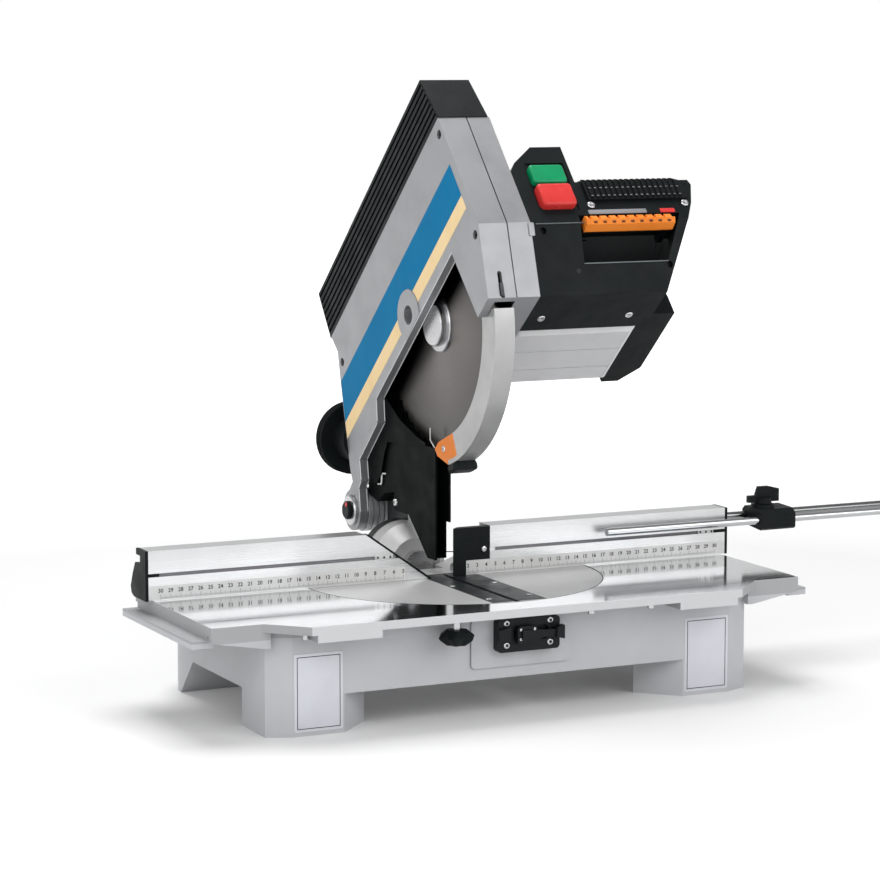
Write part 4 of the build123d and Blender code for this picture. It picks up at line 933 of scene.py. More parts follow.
class Draft:
    """A mesh in the making, in metres."""

    BEVEL_PROFILE = 0.6

    def __init__(self) -> None:
        """Starts an empty mesh."""
        self.mesh = bmesh.new()

    def prism(self, face: Face, outline: Sequence[Point2], low: float, high: float, bevel: float = 0.0,
              segments: int = 2) -> None:
        """Adds a prism that stands on a face.

        Args:
            face: The face that it stands on.
            outline: Corners anticlockwise as seen from outside, in millimetres.
            low: Height of its foot over the face.
            high: Height of its top over the face.
            bevel: Width of the bevel round its top.
            segments: Number of steps in the bevel.
        """
        part = bmesh.new()
        foot = [part.verts.new(face.point(x, y, low)) for x, y in outline]
        head = [part.verts.new(face.point(x, y, high)) for x, y in outline]
        part.faces.new(list(reversed(foot)))
        top = part.faces.new(head)
        count = len(outline)
        for i in range(count):
            j = (i + 1) % count
            part.faces.new((foot[i], foot[j], head[j], head[i]))
        if bevel:
            rim = dict(geom=list(top.edges), offset=bevel * MM, segments=segments)
            bmesh.ops.bevel(part, **rim, profile=self.BEVEL_PROFILE, affect="EDGES")
        self._take(part)

    def turn(self, face: Face, centre: Point2, profile: Sequence[Point2], segments: int = 32,
             ring: bool = False, lobes: int = 0, rise: float = 0.0) -> None:
        """Adds a turned shape whose axis stands on a face.

        Args:
            face: The face that it stands on.
            centre: Place of the axis on the face.
            profile: (radius, height) from the axis at the foot to the axis at the top, or round a ring.
            segments: Number of sides.
            ring: Whether the profile closes on itself.
            lobes: Number of lobes round the shape.
            rise: Rise of the lobes, as a share of the radius.
        """
        part = bmesh.new()
        rows = []
        for radius, height in profile:
            if radius <= 0:
                rows.append([part.verts.new(face.point(*centre, height))])
                continue
            row = []
            for i in range(segments):
                angle = 2 * math.pi * i / segments
                reach = radius * (1 + rise * math.cos(lobes * angle))
                x = centre[0] + reach * math.cos(angle)
                y = centre[1] + reach * math.sin(angle)
                row.append(part.verts.new(face.point(x, y, height)))
            rows.append(row)
        ends = rows[1:] + rows[:1] if ring else rows[1:]
        for lower, upper in zip(rows, ends):
            for i in range(segments):
                j = (i + 1) % segments
                pairs = ((lower, i), (lower, j), (upper, j), (upper, i))
                corners = list(dict.fromkeys(row[k % len(row)] for row, k in pairs))
                if len(corners) > 2:
                    part.faces.new(corners)
        bmesh.ops.recalc_face_normals(part, faces=part.faces)
        self._take(part)

    def wire(self, path: Sequence[Vector], radius: float, segments: int = 12) -> None:
        """Adds a round wire with closed ends.

        Args:
            path: Points of its middle line, in millimetres.
            radius: Its radius.
            segments: Number of sides.
        """
        part = bmesh.new()
        rings = []
        for i, place in enumerate(path):
            ahead = path[min(i + 1, len(path) - 1)] - path[max(i - 1, 0)]
            turn = ahead.to_track_quat("Z", "X")
            ring = []
            for k in range(segments):
                angle = 2 * math.pi * k / segments
                side = turn @ Vector((radius * math.cos(angle), radius * math.sin(angle), 0))
                ring.append(part.verts.new((place + side) * MM))
            rings.append(ring)
        for lower, upper in zip(rings, rings[1:]):
            for k in range(segments):
                j = (k + 1) % segments
                part.faces.new((lower[k], lower[j], upper[j], upper[k]))
        part.faces.new(list(reversed(rings[0])))
        part.faces.new(rings[-1])
        bmesh.ops.recalc_face_normals(part, faces=part.faces)
        self._take(part)

    def add(self, mesh: Mesh, place: Optional[Matrix] = None) -> None:
        """Adds a copy of a mesh.

        Args:
            mesh: The mesh.
            place: Where it is moved to, if it isn't in place yet.
        """
        part = bmesh.new()
        part.from_mesh(mesh)
        if place is not None:
            part.transform(place)
        self._take(part)

    def _take(self, part: bmesh.types.BMesh) -> None:
        """Joins a part to the draft and frees it.

        Args:
            part: The part.
        """
        spare = bpy.data.meshes.new("spare")
        part.to_mesh(spare)
        part.free()
        self.mesh.from_mesh(spare)
        bpy.data.meshes.remove(spare)

    def finish(self, name: str) -> Mesh:
        """Gives the mesh and frees the draft.

        Args:
            name: Name of the mesh.

        Returns:
            The mesh.
        """
        mesh = bpy.data.meshes.new(name)
        self.mesh.to_mesh(mesh)
        self.mesh.free()
        return mesh


class Workshop:
    """Turns meshes into pieces that ride on the frame, and repeats shapes with geometry nodes."""

    def __init__(self, finishes: FinishSet) -> None:
        """Keeps the finishes and builds the trees that repeat a shape.

        Args:
            finishes: Every finish of the machine.
        """
        self.finishes = finishes
        self.row_tree = self._row_tree()
        self.field_tree = self._field_tree()
        self.pieces: list[bpy.types.Object] = []

    @staticmethod
    def _tree(name: str, inputs: Sequence[tuple[str, Kind]]) -> tuple[Tree, Node, Node]:
        """Makes a geometry tree with a mesh in, named inputs and a mesh out.

        Args:
            name: Name of the tree.
            inputs: (name, kind) of each further input.

        Returns:
            The tree, its input node and its output node.
        """
        tree = bpy.data.node_groups.new(name, "GeometryNodeTree")
        for label, kind in (("Mesh", Kind.GEOMETRY), *inputs):
            tree.interface.new_socket(name=label, in_out="INPUT", socket_type=kind.value)
        tree.interface.new_socket(name="Mesh", in_out="OUTPUT", socket_type=Kind.GEOMETRY.value)
        return tree, tree.nodes.new("NodeGroupInput"), tree.nodes.new("NodeGroupOutput")

    @staticmethod
    def _close(tree: Tree, spread: Node, inside: Node, outside: Node) -> None:
        """Ends a tree in Realize Instances and Set Material.

        Args:
            tree: The geometry tree.
            spread: The node that gives the instances.
            inside: The tree's input node.
            outside: The tree's output node.
        """
        real = tree.nodes.new("GeometryNodeRealizeInstances")
        paint = tree.nodes.new("GeometryNodeSetMaterial")
        tree.links.new(spread.outputs["Instances"], real.inputs["Geometry"])
        tree.links.new(real.outputs["Geometry"], paint.inputs["Geometry"])
        tree.links.new(inside.outputs["Material"], paint.inputs["Material"])
        tree.links.new(paint.outputs["Geometry"], outside.inputs["Mesh"])

    def _row_tree(self) -> Tree:
        """Repeats the modifier's own mesh along a straight row.

        Returns:
            The geometry tree.
        """
        tree, inside, outside = self._tree(
            "row_of_shapes",
            [("Count", Kind.INT), ("Step", Kind.VECTOR), ("Material", Kind.MATERIAL)],
        )
        line = tree.nodes.new("GeometryNodeMeshLine")
        spread = tree.nodes.new("GeometryNodeInstanceOnPoints")
        tree.links.new(inside.outputs["Count"], line.inputs["Count"])
        tree.links.new(inside.outputs["Step"], line.inputs["Offset"])
        tree.links.new(line.outputs["Mesh"], spread.inputs["Points"])
        tree.links.new(inside.outputs["Mesh"], spread.inputs["Instance"])
        self._close(tree, spread, inside, outside)
        return tree

    def _field_tree(self) -> Tree:
        """Puts a unit object at every point of the modifier's own mesh.

        Returns:
            The geometry tree.
        """
        tree, inside, outside = self._tree(
            "field_of_shapes",
            [("Unit", Kind.OBJECT), ("Turn", Kind.ROTATION), ("Material", Kind.MATERIAL)],
        )
        unit = tree.nodes.new("GeometryNodeObjectInfo")
        spread = tree.nodes.new("GeometryNodeInstanceOnPoints")
        tree.links.new(inside.outputs["Unit"], unit.inputs["Object"])
        tree.links.new(inside.outputs["Mesh"], spread.inputs["Points"])
        tree.links.new(unit.outputs["Geometry"], spread.inputs["Instance"])
        tree.links.new(inside.outputs["Turn"], spread.inputs["Rotation"])
        self._close(tree, spread, inside, outside)
        return tree

    @staticmethod
    def _evaluate(mesh: Mesh, tree: Tree, values: dict[str, object]) -> Mesh:
        """Runs a tree on a mesh.

        Args:
            mesh: The modifier's own mesh.
            tree: The geometry tree.
            values: Input values by socket name.

        Returns:
            The result as a plain mesh.
        """
        carrier = bpy.data.objects.new("carrier", mesh)
        bpy.context.scene.collection.objects.link(carrier)
        modifier = carrier.modifiers.new("repeat", "NODES")
        modifier.node_group = tree
        for item in tree.interface.items_tree:
            if item.item_type == "SOCKET" and item.in_out == "INPUT" and item.name in values:
                modifier[item.identifier] = values[item.name]
        bpy.context.view_layer.update()
        evaluated = carrier.evaluated_get(bpy.context.evaluated_depsgraph_get())
        result = bpy.data.meshes.new_from_object(evaluated)
        carrier.modifiers.remove(modifier)
        bpy.data.objects.remove(carrier)
        return result

    def row(self, mesh: Mesh, count: int, step: float, finish: str) -> Mesh:
        """Repeats a mesh along a straight row in X.

        Args:
            mesh: The first shape, in place.
            count: Number of shapes.
            step: Distance from one to the next, in millimetres.
            finish: Name of the finish.

        Returns:
            The row as a plain mesh.
        """
        way = Vector((step * MM, 0, 0))
        values = {"Count": count, "Step": way, "Material": self.finishes[finish]}
        return self._evaluate(mesh, self.row_tree, values)

    def field(self, unit: Mesh, face: Face, places: Sequence[Point2], height: float,
              finish: str) -> Mesh:
        """Puts a shape at several places of a face.

        Args:
            unit: The shape, drawn in millimetres about the origin with +Z outwards.
            face: The face that carries it.
            places: Places on the face.
            height: Height over the face.
            finish: Name of the finish.

        Returns:
            The shapes as one plain mesh.
        """
        points = bpy.data.meshes.new("places")
        points.from_pydata([face.point(x, y, height) for x, y in places], [], [])
        scaled = unit.copy()
        scaled.transform(Matrix.Scale(MM, 4))
        model = bpy.data.objects.new("unit", scaled)
        turn = face.matrix(0, 0).to_euler()
        values = {"Unit": model, "Turn": turn, "Material": self.finishes[finish]}
        result = self._evaluate(points, self.field_tree, values)
        bpy.data.objects.remove(model)
        return result

    def piece(self, name: str, shape: Union[Draft, Mesh], finish: str, body: Body, slot: Slot,
              replaces: Sequence[str] = (), smooth: float = 32.0) -> bpy.types.Object:
        """Makes a piece of the machine that rides on a body.

        Args:
            name: Name of the piece.
            shape: Its draft or mesh, in place.
            finish: Name of its finish.
            body: The body that carries it.
            slot: The record's material slot; not used.
            replaces: Nodes of the frame that it stands for.
            smooth: Angle in degrees up to which edges are shaded smooth.

        Returns:
            The new object.
        """
        mesh = shape.finish(name) if isinstance(shape, Draft) else shape
        mesh.name = name
        mesh.materials.clear()
        mesh.materials.append(self.finishes[finish])
        for polygon in mesh.polygons:
            polygon.material_index = 0
        mesh.shade_smooth()
        mesh.set_sharp_from_angle(angle=math.radians(smooth))
        thing = bpy.data.objects.new(name, mesh)
        bpy.context.scene.collection.objects.link(thing)
        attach(thing, body.value)
        if replaces:
            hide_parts(*replaces)
        self.pieces.append(thing)
        LOG.info("%s on %s, %d faces", name, body.value, len(mesh.polygons))
        return thing


def box_outline(left: float, right: float, low: float, high: float) -> list[Point2]:
    """Corners of a rectangle, anticlockwise."""
    return [(left, low), (right, low), (right, high), (left, high)]


def rounded_outline(left: float, right: float, low: float, high: float, radius: float,
                    steps: int = 5) -> list[Point2]:
    """Corners of a rectangle with rounded corners, anticlockwise.

    Args:
        left: Left edge.
        right: Right edge.
        low: Lower edge.
        high: Upper edge.
        radius: Radius of the corners.
        steps: Straight pieces in each corner.

    Returns:
        The outline's points.
    """
    points = []
    centres = [(right - radius, low + radius, -90), (right - radius, high - radius, 0),
               (left + radius, high - radius, 90), (left + radius, low + radius, 180)]
    for x, y, start in centres:
        for i in range(steps + 1):
            angle = math.radians(start + 90 * i / steps)
            points.append((x + radius * math.cos(angle), y + radius * math.sin(angle)))
    return points


# Outline of a screw's head and levels of its socket, as shares of its radius and height
SCREW_DOME = ((1.0, 0.0), (1.0, 0.35), (0.86, 0.8), (0.6, 1.0))
SCREW_SOCKET = (1.0, 0.35)
SCREW_SIDES = 30


def hexagon_point(reach: float, place: int, per_side: int) -> Point2:
    """A point of a hexagon's outline.

    Args:
        reach: Distance of the hexagon's corners from its centre.
        place: Number of the point, counted round the outline.
        per_side: Points on each side.

    Returns:
        The point.
    """
    side, part = divmod(place, per_side)
    start, end = math.radians(60 * side), math.radians(60 * (side + 1))
    share = part / per_side
    x = reach * ((1 - share) * math.cos(start) + share * math.cos(end))
    y = reach * ((1 - share) * math.sin(start) + share * math.sin(end))
    return x, y


def screw_mesh(radius: float, height: float, socket: float) -> Mesh:
    """A button-head screw with a hexagon socket, in millimetres about the origin.

    Args:
        radius: Radius of the head.
        height: Height of the head.
        socket: Half width of the socket across its corners.

    Returns:
        The mesh, with +Z outwards.
    """
    angles = [2 * math.pi * i / SCREW_SIDES for i in range(SCREW_SIDES)]
    circle = [(radius * math.cos(a), radius * math.sin(a)) for a in angles]
    hexagon = [hexagon_point(socket, i, SCREW_SIDES // 6) for i in range(SCREW_SIDES)]
    levels = [([(across * x, across * y) for x, y in circle], up) for across, up in SCREW_DOME]
    levels += [(hexagon, up) for up in SCREW_SOCKET]
    draft = bmesh.new()
    rows = [[draft.verts.new((x, y, up * height)) for x, y in outline] for outline, up in levels]
    for lower, upper in zip(rows, rows[1:]):
        for i in range(SCREW_SIDES):
            j = (i + 1) % SCREW_SIDES
            draft.faces.new((lower[i], lower[j], upper[j], upper[i]))
    draft.faces.new(rows[-1])
    draft.faces.new(list(reversed(rows[0])))
    mesh = bpy.data.meshes.new("screw")
    draft.to_mesh(mesh)
    draft.free()
    return mesh


# Sub-assemblies

FRONT_WALL = -148.0
FENCE = cross_face(0.0)
STEEL = "bright_steel"


@dataclass
class SubAssembly:
    """A group of pieces that are made together."""

    shop: Workshop

    def build(self) -> None:
        """Makes the pieces; each sub-assembly has its own way."""
        raise NotImplementedError


@dataclass
class Rules(SubAssembly):
    """Printed centimetre scales on the fence: ticks and plain numbers."""

    left: tuple[int, int] = (5, 30)
    right: tuple[int, int] = (2, 30)
    foot: float = TABLE_TOP + 1.6
    ink: float = 0.06
    tick_kinds: tuple[Size3, ...] = ((1.0, 1.9, 0.16), (5.0, 3.0, 0.2), (10.0, 4.2, 0.26))
    number_size: float = 5.2
    number_weight: float = 0.1
    number_foot: float = TABLE_TOP + 7.6
    merge: float = 0.001

    def ticks(self, first: float, last: float, pitch: float, height: float, width: float) -> Mesh:
        """A row of ticks from the first to the last place, in millimetres.

        Args:
            first: Place of the first tick.
            last: Place of the last tick.
            pitch: Distance between ticks.
            height: Height of a tick.
            width: Width of a tick.

        Returns:
            The row as one mesh.
        """
        outline = box_outline(first - width / 2, first + width / 2, self.foot, self.foot + height)
        draft = Draft()
        draft.prism(FENCE, outline, 0, self.ink)
        count = round((last - first) / pitch) + 1
        return self.shop.row(draft.finish("tick"), count, pitch, "ink_black")

    def number(self, value: int) -> Mesh:
        """A plain number as a thin closed mesh in millimetres, centred on the origin.

        Args:
            value: The number.

        Returns:
            The mesh.
        """
        curve = bpy.data.curves.new("number", "FONT")
        curve.body = str(value)
        curve.size = self.number_size
        curve.align_x = "CENTER"
        curve.resolution_u = 3
        curve.offset = self.number_weight
        curve.extrude = self.ink / 2
        text = bpy.data.objects.new("number", curve)
        bpy.context.scene.collection.objects.link(text)
        bpy.context.view_layer.update()
        evaluated = text.evaluated_get(bpy.context.evaluated_depsgraph_get())
        mesh = bpy.data.meshes.new_from_object(evaluated)
        bpy.data.objects.remove(text)
        bpy.data.curves.remove(curve)
        solid = bmesh.new()
        solid.from_mesh(mesh)
        bmesh.ops.remove_doubles(solid, verts=solid.verts, dist=self.merge)
        bmesh.ops.recalc_face_normals(solid, faces=solid.faces)
        solid.to_mesh(mesh)
        solid.free()
        return mesh

    def build(self) -> None:
        """Makes the ticks and the numbers of both scales."""
        for side, sign, (low, high) in (("left", -1, self.left), ("right", 1, self.right)):
            first, last = sorted((sign * 10.0 * low, sign * 10.0 * high))
            draft = Draft()
            for pitch, height, width in self.tick_kinds:
                draft.add(self.ticks(first, last, pitch, height, width))
            for value in range(low, high + 1):
                place = FENCE.matrix(sign * 10 * value, self.number_foot, self.ink / 2)
                draft.add(self.number(value), place)
            self.shop.piece(f"{side}_scale", draft, "ink_black", Body.BASE, Slot.RULE)


@dataclass
class Plates(SubAssembly):
    """Bare white plates on the front feet, each with a plain border."""

    span: Point2 = (179.5, 227.5)
    rise: Point2 = (4.0, 76.0)
    corner: float = 1.5
    thick: float = 0.5
    bevel: float = 0.15
    margin: float = 2.6
    line: float = 0.7
    ink: float = 0.06

    def border(self, left: float, right: float, low: float, high: float) -> list[list[Point2]]:
        """Outlines of the four lines of a border.

        Args:
            left: Left edge of the border.
            right: Right edge.
            low: Lower edge.
            high: Upper edge.

        Returns:
            The four outlines.
        """
        w = self.line
        return [
            box_outline(left, right, low, low + w),
            box_outline(left, right, high - w, high),
            box_outline(left, left + w, low + w, high - w),
            box_outline(right - w, right, low + w, high - w),
        ]

    def build(self) -> None:
        """Makes both plates and their borders."""
        face = cross_face(FRONT_WALL)
        low, high = self.rise
        m = self.margin
        for side, sign in (("left", -1), ("right", 1)):
            left, right = sorted(sign * x for x in self.span)
            plate = Draft()
            outline = rounded_outline(left, right, low, high, self.corner)
            plate.prism(face, outline, 0, self.thick, self.bevel)
            self.shop.piece(f"{side}_foot_plate", plate, "plate_white", Body.BASE, Slot.BASE_GREY)
            border = Draft()
            for outline in self.border(left + m, right - m, low + m, high - m):
                border.prism(face, outline, self.thick, self.thick + self.ink)
            self.shop.piece(f"{side}_plate_border", border, "ink_black", Body.BASE, Slot.BASE_GREY)


@dataclass
class CoverBand(SubAssembly):
    """Blue band and cream stripe along the left cover, parted by the round boss."""

    front: float = 150.0
    rear_top: Point2 = (-195.5, 80.0)
    rear_slope: float = 37.0 / 73.0
    blue: Point2 = (39.0, 77.0)
    cream: Point2 = (23.5, 39.0)
    boss: Point2 = (-19.0, 27.0)
    boss_radius: float = 25.6
    film: float = 0.2
    arc_steps: int = 14
    edge_steps: int = 6

    def rear(self, across: float) -> float:
        """Where the band ends at the sloping rear edge of the arm."""
        return self.rear_top[0] - (self.rear_top[1] - across) * self.rear_slope

    def boss_edge(self, across: float, side: int) -> float:
        """Place along the arm of the boss's edge, before or behind it."""
        reach = math.sqrt(max(0.0, self.boss_radius ** 2 - (across - self.boss[1]) ** 2))
        return self.boss[0] + side * reach

    def arc(self, low: float) -> list[Point2]:
        """Points of the boss's edge above a level, from rear to front.

        Args:
            low: The level.

        Returns:
            The points.
        """
        x, y = self.boss
        half = math.acos((low - y) / self.boss_radius)
        angles = [half * (2 * i / self.arc_steps - 1) for i in range(self.arc_steps + 1)]
        return [(x + self.boss_radius * math.sin(a), y + self.boss_radius * math.cos(a)) for a in angles]

    def build(self) -> None:
        """Makes the blue band and the two lengths of the cream stripe."""
        face = arm_face(COVER_FACE)
        low, high = self.blue
        outline = [(self.rear(low), low), *self.arc(low)]
        outline += [(self.front, low), (self.front, high), (self.rear(high), high)]
        band = Draft()
        band.prism(face, outline, 0, self.film)
        self.shop.piece("blue_band", band, "blue_film", Body.HEAD, Slot.SHELL)
        low, high = self.cream
        levels = [low + (high - low) * i / self.edge_steps for i in range(self.edge_steps + 1)]
        before = [(self.front, low), (self.front, high)]
        before += [(self.boss_edge(t, 1), t) for t in reversed(levels)]
        behind = [(self.boss_edge(t, -1), t) for t in levels]
        behind += [(self.rear(high), high), (self.rear(low), low)]
        stripe = Draft()
        for part in (before, behind):
            stripe.prism(face, part, 0, self.film)
        self.shop.piece("cream_stripe", stripe, "cream_film", Body.HEAD, Slot.SHELL)


@dataclass(frozen=True)
class ScrewSet:
    """Screws of one size on one face; head is the radius, height and half socket width of each."""

    face: Face
    places: Sequence[Point2]
    head: Size3
    seat: float = 0.0


@dataclass
class Fasteners(SubAssembly):
    """Screw heads with sockets, in place of the plain discs of the frame and beside them, and painted shade
    in the bracket's sockets.
    """

    bracket_face: float = -158.8
    bracket_centre: Point2 = (5.3, 78.8)
    bracket_half: Point2 = (22.8, 10.3)
    bracket_head: Size3 = (3.2, 1.0, 1.6)
    bracket_seat: float = -0.6
    # Painted shade: small black heads that darken the sockets of the bracket's screws.
    bracket_socket: Size3 = (1.7, 0.3, 0.7)
    socket_seat: float = 0.2
    grip: tuple[Point2, ...] = ((106.0, 15.8), (208.4, 15.8))
    underside: tuple[Point2, ...] = ((50.0, 93.3), (145.0, 93.3))
    underside_face: float = -66.0
    underside_seat: float = 0.2
    handle_head: Size3 = (4.0, 1.6, 2.0)
    cover: tuple[Point2, ...] = ((151.0, 113.0), (148.0, -7.0), (-181.0, 90.0))
    cover_face: float = COVER_FACE + 3.0
    cover_head: Size3 = (4.4, 1.5, 2.3)
    block: Point2 = (37.0, TABLE_TOP + 25.0)
    block_head: Size3 = (3.0, 1.8, 1.5)
    insert: tuple[Point2, ...] = ((-20.0, -48.0), (-19.3, -124.0), (25.0, -47.0), (26.0, -119.5))
    insert_face: float = TABLE_TOP - 0.3
    insert_head: Size3 = (3.2, 0.7, 1.6)
    tip: Point2 = (-59.83, -105.75)
    tip_sides: Point2 = (-10.5, 10.2)
    tip_head: Size3 = (3.4, 1.6, 1.7)
    tip_seat: float = -1.2

    def heads(self, name: str, body: Body, sets: Sequence[ScrewSet], replaces: Sequence[str] = (),
              finish: str = STEEL) -> None:
        """Makes one piece from sets of screws.

        Args:
            name: Name of the piece.
            body: The body that carries it.
            sets: The screws.
            replaces: Nodes of the frame that it stands for.
            finish: Name of its finish.
        """
        draft = Draft()
        for screws in sets:
            head = screw_mesh(*screws.head)
            draft.add(self.shop.field(head, screws.face, screws.places, screws.seat, finish))
        self.shop.piece(name, draft, finish, body, Slot.SCREW, replaces)

    def build(self) -> None:
        """Makes every set of screws."""
        x, z = self.bracket_centre
        dx, dz = self.bracket_half
        corners = [(x + i * dx, z + j * dz) for i in (-1, 1) for j in (-1, 1)]
        bracket = cross_face(self.bracket_face)
        screws = ScrewSet(bracket, corners, self.bracket_head, self.bracket_seat)
        self.heads("bracket_screw_heads", Body.BASE, [screws], ["bracket_screws"])
        # Painted shade in the bracket's sockets.
        screws = ScrewSet(bracket, corners, self.bracket_socket, self.socket_seat)
        self.heads("bracket_sockets", Body.BASE, [screws], finish="ink_black")
        grip = ScrewSet(arm_front_face(ARM_FRONT), self.grip, self.handle_head)
        under = under_face(self.underside_face)
        below = ScrewSet(under, self.underside, self.handle_head, self.underside_seat)
        self.heads("handle_screw_heads", Body.HEAD, [grip, below], ["handle_screws"])
        screws = ScrewSet(arm_face(self.cover_face), self.cover, self.cover_head)
        self.heads("cover_screw_heads", Body.HEAD, [screws], ["cover_screws"], "dark_steel")
        screws = ScrewSet(FENCE, [self.block], self.block_head)
        self.heads("block_screw_head", Body.BASE, [screws], ["block_screw"])
        screws = ScrewSet(level_face(self.insert_face, True), self.insert, self.insert_head)
        self.heads("insert_screw_heads", Body.TURNTABLE, [screws])
        left, right = (arm_face(x) for x in self.tip_sides)
        right = Face(right.origin, -left.across, left.up)
        mirrored = (-self.tip[0], self.tip[1])
        places = ((left, self.tip), (right, mirrored))
        tips = [ScrewSet(face, [place], self.tip_head, self.tip_seat) for face, place in places]
        self.heads("tip_screw_heads", Body.GUARD, tips, ["guard_screws"])


@dataclass
class HandleTrim(SubAssembly):
    """Strips and tab on the handle, painted highlights and shade on it and the motor, and the opening's
    back.
    """

    strip: Box = (100.0, 163.0, 4.4, 9.4)
    red_mark: Box = (178.0, 194.0, 4.4, 9.2)
    strip_height: float = 0.5
    strip_sunk: float = 0.1
    corner_share: float = 0.2
    bevel_share: float = 0.3
    tab: Box = (31.5, 37.5, -13.5, -0.6)
    tab_height: float = 1.2
    # Painted highlights as raised beads: the lit edge at the crease and the lit lip of the finger opening.
    crease_bead: Box = (40.0, 97.0, -2.4, -1.4)
    lip_bead: Box = (86.0, 177.0, -0.6, 0.4)
    bead_height: float = 0.4
    lip_across: float = -40.6
    # Painted shade: a black strip for the shade in the catch's slot.
    catch_slot: Box = (-5.7, -2.4, -8.7, 3.0)
    catch_across: float = -60.0
    catch_height: float = 0.2
    motor_low: float = -62.0
    # Painted highlights: light strips for the lit edges of the motor's underside.
    motor_band: Box = (40.0, 163.4, 60.0, 69.0)
    motor_edge: Box = (161.2, 163.4, -14.0, 60.0)
    # A black back and wall that close the finger opening; partly they stand for the shade inside it.
    well_back: float = 92.0
    well: tuple[Point2, ...] = ((86.0, -40.0), (177.0, -40.0), (210.7, 30.0), (88.0, 30.0))
    well_wall: tuple[Point2, ...] = ((177.0, -40.0), (178.0, -40.0), (211.7, 30.0), (210.7, 30.0))
    well_thick: float = 0.8
    well_depth: float = 46.0
    # Painted shade: a black disc for the shade in a hole of the panel.
    plug: Point2 = (78.7, -47.0)
    plug_profile: tuple[Point2, ...] = ((0, -0.1), (2.6, -0.1), (2.2, 0.3), (0, 0.3))
    # Painted highlights: light dashes for the lit ends of the grip's ribs.
    rib_first: float = 108.6
    rib_step: float = 6.0
    rib_count: int = 17
    rib_face: float = 164.3
    rib_lines: Point2 = (23.6, 33.0)
    rib_half: Point2 = (1.3, 0.6)
    rib_corner: float = 0.5
    rib_proud: float = 0.3

    def _strip(self, name: str, face: Face, box: Box, height: float, finish: str, slot: Slot) -> None:
        """Lays one bevelled strip on a face of the head.

        Args:
            name: Name of the piece.
            face: The face.
            box: Edges of the strip on the face.
            height: Height over the face.
            finish: Name of its finish.
            slot: The record's material slot.
        """
        draft = Draft()
        corner = self.corner_share * min(box[1] - box[0], box[3] - box[2])
        outline = rounded_outline(*box, corner, 3)
        draft.prism(face, outline, -self.strip_sunk, height, self.bevel_share * height)
        self.shop.piece(name, draft, finish, Body.HEAD, slot)

    def _rib_ends(self) -> None:
        """Makes two rows of painted highlights on the ends of the grip's ribs."""
        face = arm_front_face(self.rib_face)
        across, up = self.rib_half
        first, proud = self.rib_first, self.rib_proud
        rows = Draft()
        for line in self.rib_lines:
            box = (first - across, first + across, line - up, line + up)
            dash = Draft()
            dash.prism(face, rounded_outline(*box, self.rib_corner, 3), -proud, proud, proud / 2)
            rows.add(self.shop.row(dash.finish("dash"), self.rib_count, self.rib_step, "worn_edge"))
        self.shop.piece("rib_ends", rows, "worn_edge", Body.HEAD, Slot.RUBBER)

    def build(self) -> None:
        """Makes the strips, the painted highlights and shade, the back of the finger opening and the ribs'
        highlights.
        """
        front, under = arm_front_face(ARM_FRONT), under_face(self.motor_low)
        crease, lip = slope_face(CREASE[1]), slope_face(self.lip_across)
        catch, thin, bead = slope_face(self.catch_across), self.strip_height, self.bead_height
        self._strip("grip_strip", front, self.strip, thin, "strip_grey", Slot.SHELL)
        self._strip("grip_mark", front, self.red_mark, thin, "red_plastic", Slot.RED)
        self._strip("crease_tab", crease, self.tab, self.tab_height, "silver_paint", Slot.SHELL)
        # Painted highlights at the crease and the lip.
        self._strip("crease_bead", crease, self.crease_bead, bead, "worn_edge", Slot.BLACK)
        self._strip("lip_bead", lip, self.lip_bead, bead, "worn_edge", Slot.BLACK)
        # Painted shade in the catch's slot.
        self._strip("catch_slot", catch, self.catch_slot, self.catch_height, "ink_black", Slot.BLACK)
        # Painted highlights on the motor's underside.
        self._strip("motor_band", under, self.motor_band, thin, "motor_light", Slot.MOTOR)
        self._strip("motor_edge", under, self.motor_edge, thin, "motor_light", Slot.MOTOR)
        # The opening's back, partly painted shade.
        well, back = Draft(), arm_front_face(self.well_back)
        well.prism(back, self.well, 0, self.well_thick)
        well.prism(back, self.well_wall, 0, self.well_depth)
        self.shop.piece("finger_well", well, "black_plastic", Body.HEAD, Slot.BLACK)
        # Painted shade in a hole of the panel.
        plug = Draft()
        plug.turn(slope_face(self.plug[1]), (self.plug[0], 0.0), self.plug_profile, 20)
        self.shop.piece("panel_plug", plug, "ink_black", Body.HEAD, Slot.BLACK)
        self._rib_ends()


@dataclass(frozen=True)
class Button:
    """One rounded button: its span up the handle, height, bevel, looks and place in the record."""

    name: str
    span: Point2
    proud: float
    bevel: float
    finish: str
    body: Body
    slot: Slot


@dataclass
class Buttons(SubAssembly):
    """Rounded start and stop buttons in place of the plain ones."""

    sides: Point2 = (52.4, 88.6)
    foot: float = 151.0
    corner: float = 3.6
    kinds: tuple[Button, ...] = (
        Button("start", (40.9, 62.6), 5.4, 2.6, "green_plastic", Body.START, Slot.GREEN),
        Button("stop", (12.4, 38.1), 7.4, 3.2, "red_plastic", Body.STOP, Slot.RED),
    )

    def build(self) -> None:
        """Makes both buttons."""
        for kind in self.kinds:
            draft = Draft()
            outline = rounded_outline(*self.sides, *kind.span, self.corner, 4)
            draft.prism(arm_front_face(0), outline, self.foot, ARM_FRONT + kind.proud, kind.bevel, 4)
            replaced = [f"{kind.name}_button"]
            place = (kind.body, kind.slot, replaced)
            self.shop.piece(f"{kind.name}_cap", draft, kind.finish, *place, smooth=40.0)


